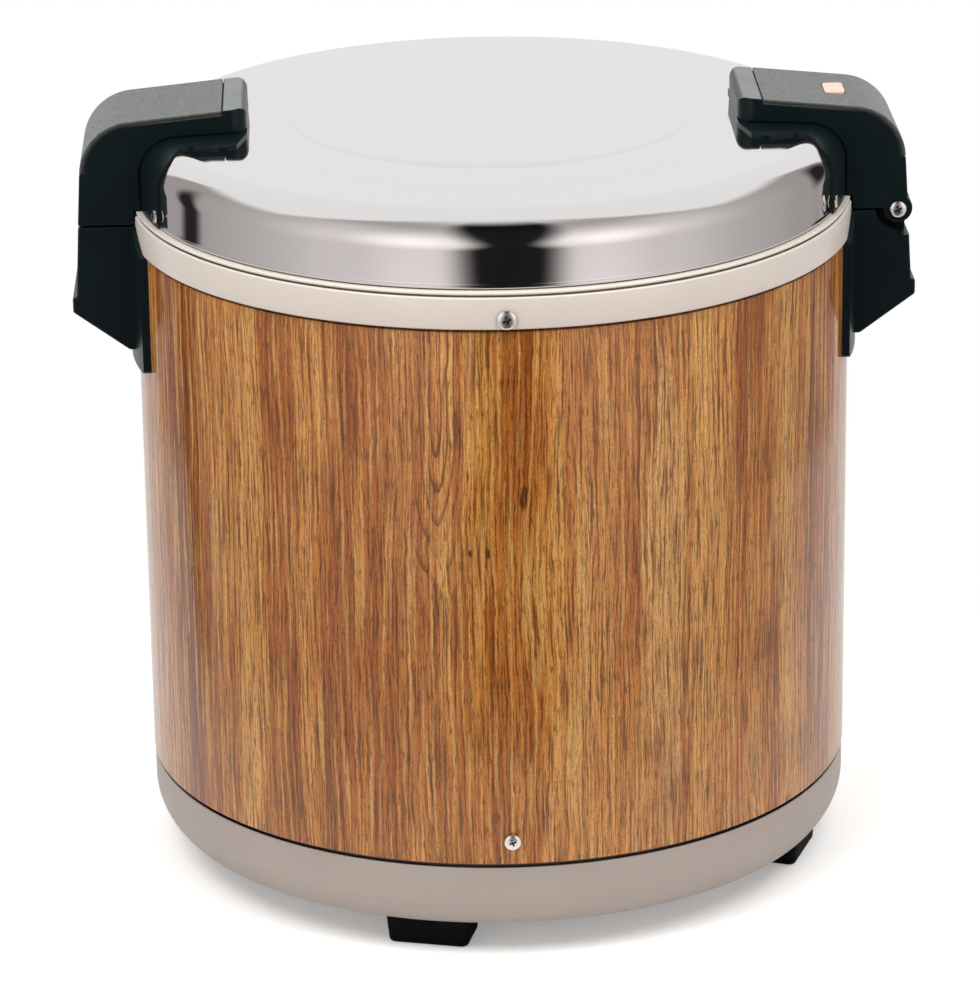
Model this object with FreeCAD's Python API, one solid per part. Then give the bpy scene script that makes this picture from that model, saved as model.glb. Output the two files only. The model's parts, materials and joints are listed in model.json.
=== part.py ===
import FreeCAD, Part
import math
import os
from FreeCAD import Vector

# Rice warmer: a drum body in wood-grain sheet, a hinged domed lid and a lift-out pot.
# Millimetres, +Z up, origin on the table under the middle of the drum.
# +X points to the hinge side, -Y to the front.

# Body, outside
BODY_R = 187.5          # outer radius of the wood-grain shell
SHELL_WALL = 0.8        # sheet thickness of the shell
SHELL_H = 287.4         # visible height of the shell
SHELL_GAP = 0.8         # dark line between shell and base ring
FOOT_H = 17.3           # table to base ring
BASE_H = 35.3           # height of the base ring
BASE_INSET = 0.5        # base ring radius below the shell radius
BASE_TUCK = 7.5         # how far the base ring curves in at its lower edge
BASE_CURVE_H = 18.0     # height of that curve
UPSTAND_H = 22.0        # base ring wall that stands inside the shell
BASE_FLANGE = 42.0      # width of the base ring's flat underside
PLATE_INSET = 6.5       # bottom plate's edge inside that underside's edge
BAND_H = 16.5           # height of the pale band
BAND_PROUD = 1.5        # band radius beyond the shell
BAND_LIP = 1.6          # band's lip over the shell's upper edge
BAND_EDGE = 0.6         # rounding of the band's edges
SEAM_GAP = 1.2          # dark line between band and rim
RIM_H = 1.4             # height of the rim ring's edge
RIM_INSET = 0.7         # rim radius below the band radius
SKIRT_H = 12.0          # rim ring wall below the band's lower edge
SHEET = 1.2             # sheet thickness of rim ring, base ring and plates

# Pot and liner
WALL_ROOM = 27.5        # shell's outside to the pot's outside
POT_WALL = 1.2
POT_FLANGE = 12.0       # width of the pot's flange
POT_CORNER = 28.0       # outer radius of the pot's bottom corner
POT_CLEAR = 3.0         # pot to liner, all round
POT_FLOOR_GAP = 4.0     # pot to liner floor
POT_LIFT = 8.0          # free lift of the pot under the closed lid
REST_GAP = 0.3          # air left between bodies that rest on each other
LINER_WALL = 0.8
LINER_FLANGE = 14.0

# Heating and insulation
HEATER_T = 2.0
SIDE_HEATER_H = 60.0
SIDE_HEATER_UP = 20.0   # above the liner's bottom corner
BOTTOM_HEATER_W = 70.0  # width of the flat ring heater
BOTTOM_HEATER_IN = 2.0  # its edge inside the liner's flat floor
WOOL_GAP = 1.0          # heater to insulation
SCREW_ROOM = 8.0        # room inside the shell for screw ends
WOOL_END_GAP = 6.0
WOOL_BOTTOM_T = 9.0
HEATER_ROOM = 19.5      # lower insulation to the bottom heater, for thermostat and fuse
SHIELD_HOLE_R = 20.0
THERMOSTAT_R = 12.0
THERMOSTAT_H = 12.0
THERMOSTAT_CAP_H = 7.0
THERMOSTAT_FACE_R = 9.0
FUSE_R = 3.0
FUSE_L = 22.0
FUSE_AT = 36.0          # distance of the fuse from the axis
BLOCK_L = 44.0
BLOCK_W = 20.0
BLOCK_H = 15.0
BLOCK_IN = 77.5         # terminal block's middle inside the shell radius
WIRE_R = 1.6
WIRE_PITCH = 12.0
WIRE_COUNT = 3
WIRE_HOLE_R = 20.0      # hole for the wires in shield and wool

# Cord gland at the rear
GLAND_BORE_R = 4.2
GLAND_NECK_R = 7.5
GLAND_FLANGE_R = 10.5
GLAND_FLANGE_T = 1.6
GLAND_DOWN = 11.0       # gland axis below the top of the base ring
GLAND_BACK = 4.0        # thickness of the gland behind the sheet

# Feet
FOOT_ANGLES = (-104.7, -20.4, 75.3, 159.6)
FOOT_NAMES = ("front", "right", "rear", "left")
FOOT_W = 45.0
FOOT_DEPTH = 30.0
FOOT_INSET = 13.1       # foot's outer face inside the shell radius
FOOT_TAPER = 1.5        # each side, towards the table
FOOT_ROUND = 4.0
FOOT_EDGE = 2.0
FOOT_BORE_R = 6.5       # recess for the screw head
FOOT_BORE_DEPTH = 8.0
FOOT_SCREW_HEAD_R = 4.9

# Screws
FRONT_AND_BACK = (-90.0, 90.0)  # plan angles of the band and shell screws
SCREW_R = 2.0           # shank
BAND_SCREW_HEAD_R = 5.0
BAND_SCREW_UP = 5.4     # above the band's lower edge
SHELL_SCREW_HEAD_R = 4.3
SHELL_SCREW_UP = 13.4   # above the base ring's top
HEAD_H = 2.2
SCREW_L = 7.0           # shank length inside the outer sheet
NUT_R = 4.2
NUT_SIDES = 6
NUT_T = 3.2
THREAD_OVER = 1.0       # screw end beyond its nut
CROSS_W = 1.1           # cross recess: slot width
CROSS_DEPTH = 1.2
CROSS_SHARE = 0.62      # slot length as a share of the head
HEAD_EDGE_SHARE = 0.4   # straight edge of a pan head as a share of its height

# Lid
LID_GAP = 0.8           # rim ring to lid edge
LID_INSET = 3.8         # lid wall inside the rim ring's edge
LID_WALL = 0.8
LID_WALL_H = 19.1       # straight part of the lid's side
LID_SHOULDER = 18.0     # radius of the rounded shoulder
LID_RISE = 2.3          # shoulder to embossed ring
LID_FULLNESS = 0.6      # how full the slope between them is; 0.5 is straight
LID_STEP_R = 105.5      # radius of the embossed ring
LID_STEP_W = 3.0
LID_STEP_H = 0.7
LID_CROWN = 2.3         # embossed ring to centre
PAN_CLEAR = 1.5         # pot flange to lid ring, sideways
LID_RING_T = 1.5
GASKET_T = 1.7
GASKET_W = 6.0
PAN_WALL = 0.8
LIFT_SPARE = 2.2        # lifted pot to the inner pan
PAN_FLANGE = 5.5
LID_HEATER_IN = 33.5    # pan's side to the heater's edge
LID_WOOL_GAP = 2.0

# Handles on the lid, and brackets on the body
HANDLE_W = 66.0
ARM_REACH = 57.5        # lid wall to the tip of the arm
TIP_RISE = 15.8         # tip's top above the lid's shoulder
ARM_RISE = 10.7         # arm's top above the lid's shoulder where the corner starts
TIP_CHAMFER = 6.0
TIP_ROUND = 9.0         # plan rounding of the tip's corners
POST_OUT = 31.5         # post's outer face beyond the lid wall, at the split
POST_LEAN = 3.4         # post's outer face leans in by this at the corner
CORNER_R = 28.5         # rounded outer corner of the handle
SPLIT_UP = 11.5         # split between handle and bracket, above the band's lower edge
SPLIT_GAP = 1.0
BAND_CLEAR = 0.8        # handle to band
COVER_T = 2.4
COVER_SEAM = 12.5       # tip to the seam of the cover
COVER_DROP = 28.0       # cover's lower end above the split
FLANGE_T = 2.5          # saddle flange on the lid
FLANGE_TIP_W = 118.0    # widths of the saddle flange
FLANGE_NECK_W = 97.0
FLANGE_SIDE_W = 136.0
FLANGE_TIP_IN = 6.0     # plan stations of the flange, from the tip
FLANGE_TIP_OUT = 18.5
FLANGE_NECK_AT = 32.0
FLANGE_SIDE_AT = 39.0
FLANGE_ROUND = 6.0
FLANGE_SCREW_W = 127.0  # distance between the two flange screws
FLANGE_SCREW_UP = 5.4   # above the lid's lower edge
FLANGE_SCREW_HEAD_R = 3.5
FLANGE_SCREW_HEAD_H = 1.4
POCKET_L = 26.0         # hollow under the right cover, for the lamp
POCKET_W = 34.0
LENS_L = 9.0
LENS_W = 17.5
LENS_AT = 52.5          # tip to the lens centre
LENS_PROUD = 0.7
LENS_BELOW = 0.8        # lens below the cover's underside
LENS_COLLAR = 0.8       # collar that keeps it in
LENS_ROUND = 2.5
LAMP_R = 3.0
LAMP_L = 14.0
BRACKET_T = 4.0         # bracket's plate on the shell
BRACKET_W = 106.0       # width of that plate
BRACKET_DROP = 63.0     # plate's lower end below the band
BRACKET_TOE = 56.0      # where the sloping underside meets the plate
BRACKET_LIP_DROP = 35.0
BRACKET_LIP_H = 8.0
BRACKET_LIP = 2.2
BRACKET_FLARE = 2.1     # bracket's outer face leans out by this
BRACKET_SCREW_DROP = 30.0
BRACKET_SCREW_W = 36.0

# Hinge in the right handle
PIN_R = 2.5
PIN_CLEAR = 0.06        # running fit of the cheeks on the pin
PIN_HEAD_R = 4.4
PIN_HEAD_H = 2.0
PIN_IN = 5.5            # pin axis inside the post's outer face
PIN_UP = 0.2            # pin axis above the split
BOSS_R = 7.7
KNUCKLE_W = 36.0
KNUCKLE_R = 8.0
KNUCKLE_GAP = 0.4       # knuckle to each cheek
KNUCKLE_CLEAR = 0.8     # knuckle to the handle around it
NOTCH_R = 11.5          # bracket's hollow for the boss
SHOULDER_DROP = 14.4    # bracket's outer shoulder below the pin axis
OPEN_DEG = 95.0         # how far the lid opens

# Heights worked out from the sizes above
Z_BASE = FOOT_H
Z_SHELL = Z_BASE + BASE_H
Z_BAND = Z_SHELL + SHELL_H
Z_BAND_TOP = Z_BAND + BAND_H
Z_RIM = Z_BAND_TOP + SEAM_GAP
Z_RIM_TOP = Z_RIM + RIM_H
Z_PLATE = Z_RIM_TOP - SHEET
Z_LID = Z_RIM_TOP + LID_GAP
Z_SHOULDER = Z_LID + LID_WALL_H
Z_LID_TOP = Z_SHOULDER + LID_SHOULDER
Z_POT_SEAT = Z_RIM_TOP + REST_GAP
Z_LID_RING = Z_POT_SEAT + GASKET_T
Z_PAN_SEAT = Z_LID_RING + LID_RING_T
Z_PAN_TOP = Z_POT_SEAT + POT_WALL + POT_LIFT + LIFT_SPARE + PAN_WALL
Z_UPSTAND = Z_SHELL + UPSTAND_H
Z_SHIELD = Z_SHELL
Z_HEATER_UNDER = Z_SHIELD + SHEET + WOOL_BOTTOM_T + HEATER_ROOM
Z_LINER_UNDER = Z_HEATER_UNDER + HEATER_T
Z_LINER_FLOOR = Z_LINER_UNDER + LINER_WALL
Z_POT_FLOOR = Z_LINER_FLOOR + POT_FLOOR_GAP
Z_BOTTOM_PLATE = Z_BASE + SHEET
Z_SPLIT = Z_BAND + SPLIT_UP
Z_PIN = Z_SPLIT + PIN_UP
Z_BAND_SCREW = Z_BAND + BAND_SCREW_UP
Z_SHELL_SCREW = Z_SHELL + SHELL_SCREW_UP
Z_FLANGE_SCREW = Z_LID + FLANGE_SCREW_UP
Z_GLAND = Z_SHELL - GLAND_DOWN

# Radii worked out from the sizes above
R_INSIDE = BODY_R - SHELL_WALL
R_BAND = BODY_R + BAND_PROUD
R_RIM = R_BAND - RIM_INSET
R_BASE = BODY_R - BASE_INSET
POT_R = BODY_R - WALL_ROOM
R_LINER = POT_R + POT_CLEAR
R_LINER_OUT = R_LINER + LINER_WALL
R_POT_FLANGE = POT_R + POT_FLANGE
R_LID = R_RIM - LID_INSET
R_LID_IN = R_LID - LID_WALL
R_PAN = R_POT_FLANGE + PAN_CLEAR
R_FOOT = BODY_R - FOOT_INSET
BLOCK_AT = BODY_R - BLOCK_IN
R_WOOL_IN = R_LINER_OUT + HEATER_T + WOOL_GAP
R_WOOL_OUT = R_INSIDE - SCREW_ROOM

# Handle stations along X
X_TIP = R_LID - ARM_REACH
X_SPLIT = R_LID + POST_OUT
X_PIN = X_SPLIT - PIN_IN
X_LENS = X_TIP + LENS_AT
Z_TIP = Z_LID_TOP + TIP_RISE
Z_ARM = Z_LID_TOP + ARM_RISE

AXIS_Y = Vector(0, 1, 0)
AXIS_Z = Vector(0, 0, 1)
BIG = 4 * BODY_R        # reach of cutting tools, past everything
SAME_PLACE = 1e-6       # points closer than this are one point


def path(points, close=True):
    """Wire in the XZ plane; a point written as (mid, end) is reached by an arc."""
    start = None
    edges = []
    first = None
    for item in points:
        if isinstance(item[0], tuple):
            mid = Vector(item[0][0], 0, item[0][1])
            end = Vector(item[1][0], 0, item[1][1])
            edges.append(Part.Arc(start, mid, end).toShape())
        else:
            end = Vector(item[0], 0, item[1])
            if start is not None and start.distanceToPoint(end) > SAME_PLACE:
                edges.append(Part.makeLine(start, end))
        if first is None:
            first = end
        start = end
    if close and start.distanceToPoint(first) > SAME_PLACE:
        edges.append(Part.makeLine(start, first))
    return Part.Wire(edges)


def turned(points):
    """Solid of revolution about Z from a closed outline in radius and height."""
    face = Part.Face(path(points))
    return face.revolve(Vector(0, 0, 0), AXIS_Z, 360)


def slab(points, width):
    """XZ outline made a solid of the given width across Y, centred on the XZ plane."""
    face = Part.Face(path(points))
    face.translate(Vector(0, -width / 2, 0))
    return face.extrude(Vector(0, width, 0))


def arc_mid(centre, radius, from_deg, to_deg):
    """Point halfway along an arc."""
    middle = math.radians((from_deg + to_deg) / 2)
    return (centre[0] + radius * math.cos(middle), centre[1] + radius * math.sin(middle))


def cap_height(radius, edge_radius, crown):
    """Height of a round cap above its edge, at a distance from its axis."""
    ball = (edge_radius ** 2 + crown ** 2) / (2 * crown)
    return crown - ball + math.sqrt(ball ** 2 - radius ** 2)


def rod(radius, start, direction, length):
    """Round bar from a point along a direction."""
    return Part.makeCylinder(radius, length, start, direction)


def block(x_range, y_range, z_range):
    """Box between two values on each axis."""
    low = Vector(x_range[0], y_range[0], z_range[0])
    return Part.makeBox(x_range[1] - x_range[0], y_range[1] - y_range[0], z_range[1] - z_range[0], low)


def outward(angle):
    """Unit vector in plan at an angle in degrees."""
    return Vector(math.cos(math.radians(angle)), math.sin(math.radians(angle)), 0)


def mirrored(shape):
    """The same shape on the other side of the drum."""
    return shape.mirror(Vector(0, 0, 0), Vector(1, 0, 0))


def fuse(shapes):
    """Join shapes that touch into one solid."""
    joined = shapes[0]
    for shape in shapes[1:]:
        joined = joined.fuse(shape)
    return joined.removeSplitter()


def save(name, solids):
    """Write one node: a single solid, or a group of separate ones."""
    shape = solids[0] if len(solids) == 1 else Part.makeCompound(solids)
    if len(shape.Solids) == 1:
        shape = shape.Solids[0]
    shape.exportStep(os.path.join("parts", name + ".step"))


def cross_screw(head_r, head_h, shank_r, shank_l):
    """Pan-head screw along +Z with the underside of its head at the origin, cross recess on top."""
    edge_h = head_h * HEAD_EDGE_SHARE
    crown = head_h - edge_h
    shoulder = (head_r / 2, edge_h + cap_height(head_r / 2, head_r, crown))
    screw = turned([(0, -shank_l), (shank_r, -shank_l), (shank_r, 0), (head_r, 0), (head_r, edge_h),
                    (shoulder, (0, head_h))])
    reach = head_r * CROSS_SHARE
    half = CROSS_W / 2
    floor = head_h - CROSS_DEPTH
    recess = block((-reach, reach), (-half, half), (floor, head_h))
    recess = recess.fuse(block((-half, half), (-reach, reach), (floor, head_h)))
    return screw.cut(recess)


def set_radially(shape, angle, radius, height):
    """Turn a shape built along +Z so that it points outwards at an angle, at a radius and height."""
    placed = shape.copy()
    placed.rotate(Vector(0, 0, 0), AXIS_Y, 90)
    placed.rotate(Vector(0, 0, 0), AXIS_Z, angle)
    place = outward(angle) * radius
    placed.translate(Vector(place.x, place.y, height))
    return placed


def radial_hole(angle, radius, height):
    """Cutting bar from the axis outwards."""
    return rod(radius, Vector(0, 0, height), outward(angle), BIG)


def outer_shell():
    """Wood-grain sheet drum, open at both ends, with its screw holes."""
    low = Z_SHELL + SHELL_GAP
    high = Z_BAND_TOP - BAND_LIP
    shell = turned([(R_INSIDE, low), (BODY_R, low), (BODY_R, high), (R_INSIDE, high)])
    for angle in FRONT_AND_BACK:
        shell = shell.cut(radial_hole(angle, SCREW_R, Z_BAND_SCREW))
        shell = shell.cut(radial_hole(angle, SCREW_R, Z_SHELL_SCREW))
    for hole in bracket_holes():
        shell = shell.cut(hole)
    return shell


def top_band():
    """Pale band round the top of the shell, with a lip over the shell's edge."""
    soft = BAND_EDGE
    turn = soft * (1 - math.sqrt(0.5))
    lip = Z_BAND_TOP - BAND_LIP
    band = turned([
        (BODY_R, Z_BAND), (R_BAND - soft, Z_BAND),
        ((R_BAND - turn, Z_BAND + turn), (R_BAND, Z_BAND + soft)), (R_BAND, Z_BAND_TOP - soft),
        ((R_BAND - turn, Z_BAND_TOP - turn), (R_BAND - soft, Z_BAND_TOP)),
        (R_INSIDE, Z_BAND_TOP), (R_INSIDE, lip), (BODY_R, lip)])
    for angle in FRONT_AND_BACK:
        band = band.cut(radial_hole(angle, SCREW_R, Z_BAND_SCREW))
    return band


def rim_ring():
    """Rim the lid closes on: flat top, turned-down edge and a skirt inside the shell."""
    skirt_in = R_INSIDE - SHEET
    low = Z_BAND - SKIRT_H
    rim = turned([
        (R_LINER, Z_PLATE), (R_LINER, Z_RIM_TOP), (R_RIM, Z_RIM_TOP), (R_RIM, Z_RIM),
        (R_RIM - SHEET, Z_RIM), (R_RIM - SHEET, Z_PLATE), (R_INSIDE, Z_PLATE), (R_INSIDE, low),
        (skirt_in, low), (skirt_in, Z_PLATE)])
    for angle in FRONT_AND_BACK:
        rim = rim.cut(radial_hole(angle, SCREW_R, Z_BAND_SCREW))
    return rim


def pan_outline(radius, wall, flange, corner, top, floor):
    """Outline of a drawn pan: flange, side, rounded corner and floor; floor is its underside."""
    centre = (radius - corner, floor + corner)
    inner = corner - wall
    return [(0, floor), (centre[0], floor),
            (arc_mid(centre, corner, -90, 0), (radius, centre[1])), (radius, top - wall),
            (radius + flange, top - wall), (radius + flange, top), (radius - wall, top),
            (radius - wall, centre[1]),
            (arc_mid(centre, inner, 0, -90), (centre[0], floor + wall)), (0, floor + wall)]


def liner():
    """Drawn can that hangs from the rim ring and holds the pot."""
    corner = POT_CORNER + POT_CLEAR + LINER_WALL
    return turned(pan_outline(R_LINER_OUT, LINER_WALL, LINER_FLANGE, corner, Z_PLATE, Z_LINER_UNDER))


def inner_pot():
    """Lift-out pot with a flange that rests on the rim ring."""
    top = Z_POT_SEAT + POT_WALL
    return turned(pan_outline(POT_R, POT_WALL, POT_FLANGE, POT_CORNER, top, Z_POT_FLOOR))


def base_ring():
    """Grey ring under the shell, with a wall inside the shell and a flat underside."""
    step = Z_SHELL - SHEET
    foot_r = R_BASE - BASE_TUCK
    flange_in = foot_r - BASE_FLANGE
    curve_z = Z_BASE + BASE_CURVE_H
    curve_r = (BASE_TUCK ** 2 + BASE_CURVE_H ** 2) / (2 * BASE_TUCK)
    centre = (R_BASE - curve_r, curve_z)
    low_angle = -math.degrees(math.asin(BASE_CURVE_H / curve_r))
    inner_r = curve_r - SHEET
    inner_angle = -math.degrees(math.asin((BASE_CURVE_H - SHEET) / inner_r))
    inner_foot = centre[0] + inner_r * math.cos(math.radians(inner_angle))
    ring = turned([
        (flange_in, Z_BASE), (foot_r, Z_BASE),
        (arc_mid(centre, curve_r, low_angle, 0), (R_BASE, curve_z)),
        (R_BASE, Z_SHELL), (R_INSIDE, Z_SHELL), (R_INSIDE, Z_UPSTAND), (R_INSIDE - SHEET, Z_UPSTAND),
        (R_INSIDE - SHEET, step), (R_BASE - SHEET, step), (R_BASE - SHEET, curve_z),
        (arc_mid(centre, inner_r, inner_angle, 0), (inner_foot, Z_BASE + SHEET)),
        (flange_in, Z_BASE + SHEET)])
    for angle in FRONT_AND_BACK:
        ring = ring.cut(radial_hole(angle, SCREW_R, Z_SHELL_SCREW))
    for angle in FOOT_ANGLES:
        ring = ring.cut(foot_hole(angle))
    return ring.cut(rod(GLAND_NECK_R, Vector(0, 0, Z_GLAND), AXIS_Y, BIG))


def foot_middle(angle):
    """Plan centre of a foot."""
    return outward(angle) * (R_FOOT - FOOT_DEPTH / 2)


def foot_hole(angle):
    """Cutting bar for a foot's screw."""
    return rod(SCREW_R, foot_middle(angle), AXIS_Z, Z_SHELL)


def bottom_plate():
    """Plate that closes the body from below, lying on the base ring's flange."""
    plate_r = R_BASE - BASE_TUCK - PLATE_INSET
    plate = rod(plate_r, Vector(0, 0, Z_BOTTOM_PLATE), AXIS_Z, SHEET)
    for angle in FOOT_ANGLES:
        plate = plate.cut(foot_hole(angle))
    return plate


def heat_shield():
    """Plate across the base, inside the base ring's upstand, that carries the lower insulation."""
    shield = rod(R_INSIDE - SHEET, Vector(0, 0, Z_SHIELD), AXIS_Z, SHEET)
    shield = shield.cut(rod(SHIELD_HOLE_R, Vector(0, 0, Z_SHIELD), AXIS_Z, SHEET))
    return shield.cut(rod(WIRE_HOLE_R, Vector(0, BLOCK_AT, Z_SHIELD), AXIS_Z, SHEET))


def insulation_bottom():
    """Disc of glass wool on the heat shield, open in the middle and for the wires."""
    floor = Z_SHIELD + SHEET
    wool = rod(R_WOOL_OUT - SCREW_ROOM, Vector(0, 0, floor), AXIS_Z, WOOL_BOTTOM_T)
    fuse_room = FUSE_AT + FUSE_L
    wool = wool.cut(rod(fuse_room, Vector(0, 0, floor), AXIS_Z, WOOL_BOTTOM_T))
    return wool.cut(rod(WIRE_HOLE_R, Vector(0, BLOCK_AT, floor), AXIS_Z, WOOL_BOTTOM_T))


def insulation_side():
    """Sleeve of glass wool round the liner."""
    low = Z_UPSTAND + WOOL_END_GAP
    high = Z_BAND - SKIRT_H - WOOL_END_GAP
    return turned([(R_WOOL_IN, low), (R_WOOL_OUT, low), (R_WOOL_OUT, high), (R_WOOL_IN, high)])


def side_heater():
    """Heater band round the lower part of the liner."""
    low = Z_LINER_FLOOR + POT_CORNER + POT_CLEAR + SIDE_HEATER_UP
    high = low + SIDE_HEATER_H
    outer = R_LINER_OUT + HEATER_T
    return turned([(R_LINER_OUT, low), (outer, low), (outer, high), (R_LINER_OUT, high)])


def bottom_heater():
    """Flat ring heater under the liner."""
    outer = POT_R - POT_CORNER - BOTTOM_HEATER_IN
    heater = rod(outer, Vector(0, 0, Z_HEATER_UNDER), AXIS_Z, HEATER_T)
    return heater.cut(rod(outer - BOTTOM_HEATER_W, Vector(0, 0, Z_HEATER_UNDER), AXIS_Z, HEATER_T))


def thermostat():
    """Bimetal thermostat under the middle of the liner."""
    low = Z_LINER_UNDER - THERMOSTAT_H
    cap = rod(THERMOSTAT_R, Vector(0, 0, low), AXIS_Z, THERMOSTAT_CAP_H)
    disc = rod(THERMOSTAT_FACE_R, Vector(0, 0, low), AXIS_Z, THERMOSTAT_H)
    return fuse([cap, disc])


def thermal_fuse():
    """Thermal fuse in its sleeve, against the liner's underside."""
    return rod(FUSE_R, Vector(FUSE_AT, -FUSE_L / 2, Z_LINER_UNDER - FUSE_R), AXIS_Y, FUSE_L)


def wire_places():
    """X places of the wires on the terminal block."""
    first = -(WIRE_COUNT - 1) / 2
    return [(first + number) * WIRE_PITCH for number in range(WIRE_COUNT)]


def terminal_block():
    """Terminal block on the bottom plate."""
    floor = Z_BOTTOM_PLATE + SHEET
    body = block((-BLOCK_L / 2, BLOCK_L / 2), (BLOCK_AT - BLOCK_W / 2, BLOCK_AT + BLOCK_W / 2),
                 (floor, floor + BLOCK_H))
    wall = WIRE_PITCH / 2 + WIRE_R
    for place in wire_places():
        slot = block((place - WIRE_R * 2, place + WIRE_R * 2), (BLOCK_AT + WIRE_R * 2, BLOCK_AT + BLOCK_W),
                     (floor + BLOCK_H - wall, floor + BLOCK_H + wall))
        body = body.cut(slot)
    return body


def wires():
    """Wires from the terminal block up to the bottom heater."""
    floor = Z_BOTTOM_PLATE + SHEET + BLOCK_H
    length = Z_HEATER_UNDER - floor
    return [rod(WIRE_R, Vector(place, BLOCK_AT, floor), AXIS_Z, length) for place in wire_places()]


def cord_gland():
    """Bush in the rear of the base ring that a mains cord passes through."""
    inside = R_BASE - SHEET - GLAND_BACK
    outside = R_BASE + GLAND_FLANGE_T
    neck = rod(GLAND_NECK_R, Vector(0, inside, Z_GLAND), AXIS_Y, outside - inside)
    flange = rod(GLAND_FLANGE_R, Vector(0, R_BASE, Z_GLAND), AXIS_Y, GLAND_FLANGE_T)
    bore = rod(GLAND_BORE_R, Vector(0, inside, Z_GLAND), AXIS_Y, outside - inside)
    return fuse([neck, flange]).cut(bore)


def foot(angle):
    """Tapered block foot with rounded corners and a recess for its screw."""
    half_w = FOOT_W / 2
    half_d = FOOT_DEPTH / 2
    wires_by_height = []
    for height, shrink in ((0.0, FOOT_TAPER), (FOOT_H, 0.0)):
        x = half_d - shrink
        y = half_w - shrink
        corners = [Vector(-x, -y, height), Vector(x, -y, height),
                   Vector(x, y, height), Vector(-x, y, height)]
        wires_by_height.append(Part.makePolygon(corners + corners[:1]))
    body = Part.makeLoft(wires_by_height, True, True)
    uprights = [edge for edge in body.Edges if edge.BoundBox.ZLength > FOOT_H / 2]
    body = body.makeFillet(FOOT_ROUND, uprights)
    rim = [edge for edge in body.Edges if edge.BoundBox.ZMax < FOOT_H / 2]
    body = body.makeFillet(FOOT_EDGE, rim)
    body = body.cut(rod(FOOT_BORE_R, Vector(0, 0, 0), AXIS_Z, FOOT_BORE_DEPTH))
    body = body.cut(rod(SCREW_R, Vector(0, 0, 0), AXIS_Z, FOOT_H))
    body.rotate(Vector(0, 0, 0), AXIS_Z, angle)
    body.translate(foot_middle(angle))
    return body


def foot_screws():
    """One screw up through each foot."""
    head_top = FOOT_BORE_DEPTH
    length = Z_BOTTOM_PLATE + SHEET + NUT_T + THREAD_OVER - head_top
    screw = cross_screw(FOOT_SCREW_HEAD_R, HEAD_H, SCREW_R, length)
    screw.rotate(Vector(0, 0, 0), Vector(1, 0, 0), 180)
    screws = []
    for angle in FOOT_ANGLES:
        placed = screw.copy()
        placed.translate(foot_middle(angle) + Vector(0, 0, head_top))
        screws.append(placed)
    return screws


def hex_nut(inner_r):
    """Hexagon nut standing on the XY plane."""
    corners = [outward(360 / NUT_SIDES * number) * NUT_R for number in range(NUT_SIDES + 1)]
    nut = Part.Face(Part.makePolygon(corners)).extrude(Vector(0, 0, NUT_T))
    return nut.cut(rod(inner_r, Vector(0, 0, 0), AXIS_Z, NUT_T))


def foot_nuts():
    """One nut on the bottom plate over each foot."""
    nuts = []
    for angle in FOOT_ANGLES:
        nut = hex_nut(SCREW_R)
        nut.translate(foot_middle(angle) + Vector(0, 0, Z_BOTTOM_PLATE + SHEET))
        nuts.append(nut)
    return nuts


def band_screws():
    """Screws through band, shell and rim skirt, front and back."""
    screw = cross_screw(BAND_SCREW_HEAD_R, HEAD_H, SCREW_R, SCREW_L + BAND_PROUD)
    return [set_radially(screw, angle, R_BAND, Z_BAND_SCREW) for angle in FRONT_AND_BACK]


def shell_screws():
    """Screws through shell and base upstand, front and back."""
    screw = cross_screw(SHELL_SCREW_HEAD_R, HEAD_H, SCREW_R, SCREW_L)
    return [set_radially(screw, angle, BODY_R, Z_SHELL_SCREW) for angle in FRONT_AND_BACK]


def lid_outline(grow):
    """Upper side of the lid from its edge to the axis, moved outwards by grow."""
    radius = R_LID + grow
    centre = (R_LID - LID_SHOULDER, Z_SHOULDER)
    corner = LID_SHOULDER + grow
    top = Z_LID_TOP + grow
    ring_z = top + LID_RISE
    step_out = LID_STEP_R + LID_STEP_W / 2
    step_in = LID_STEP_R - LID_STEP_W / 2
    dome = ring_z + LID_STEP_H
    mid_r = (centre[0] + step_out) / 2
    mid_z = top + LID_RISE * LID_FULLNESS
    crown = dome + cap_height(step_in / 2, step_in, LID_CROWN)
    return [(radius, Z_SHOULDER), (arc_mid(centre, corner, 0, 90), (centre[0], top)),
            ((mid_r, mid_z), (step_out, ring_z)), (step_in, dome),
            ((step_in / 2, crown), (0, dome + LID_CROWN))]


def backwards(points):
    """The same open outline walked from its end to its start."""
    walked = []
    ends = [item[1] if isinstance(item[0], tuple) else item for item in points]
    for number in range(len(points) - 1, 0, -1):
        item = points[number]
        before = ends[number - 1]
        walked.append((item[0], before) if isinstance(item[0], tuple) else before)
    return [ends[-1]] + walked


def lid_solid(grow):
    """The lid filled in, from its lower edge upwards, with its outside moved out by grow."""
    return turned([(0, Z_LID), (R_LID + grow, Z_LID)] + lid_outline(grow))


def lid_outer():
    """Polished dome of the lid, one drawn sheet."""
    under = backwards(lid_outline(-LID_WALL))
    dome = turned([(R_LID, Z_LID)] + lid_outline(0) + under + [(R_LID_IN, Z_LID)])
    for hole in flange_holes():
        dome = dome.cut(hole)
    return dome


def lid_ring():
    """Flat ring inside the lid's edge that carries the gasket and the inner pan."""
    low = Z_LID_RING
    high = Z_PAN_SEAT
    return turned([(R_PAN, low), (R_LID_IN, low), (R_LID_IN, high), (R_PAN, high)])


def lid_gasket():
    """Rubber ring under the lid ring, just over the rim."""
    middle = (R_PAN + R_LID_IN) / 2
    inner = middle - GASKET_W / 2
    outer = middle + GASKET_W / 2
    high = Z_LID_RING
    return turned([(inner, Z_POT_SEAT), (outer, Z_POT_SEAT), (outer, high), (inner, high)])


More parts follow.
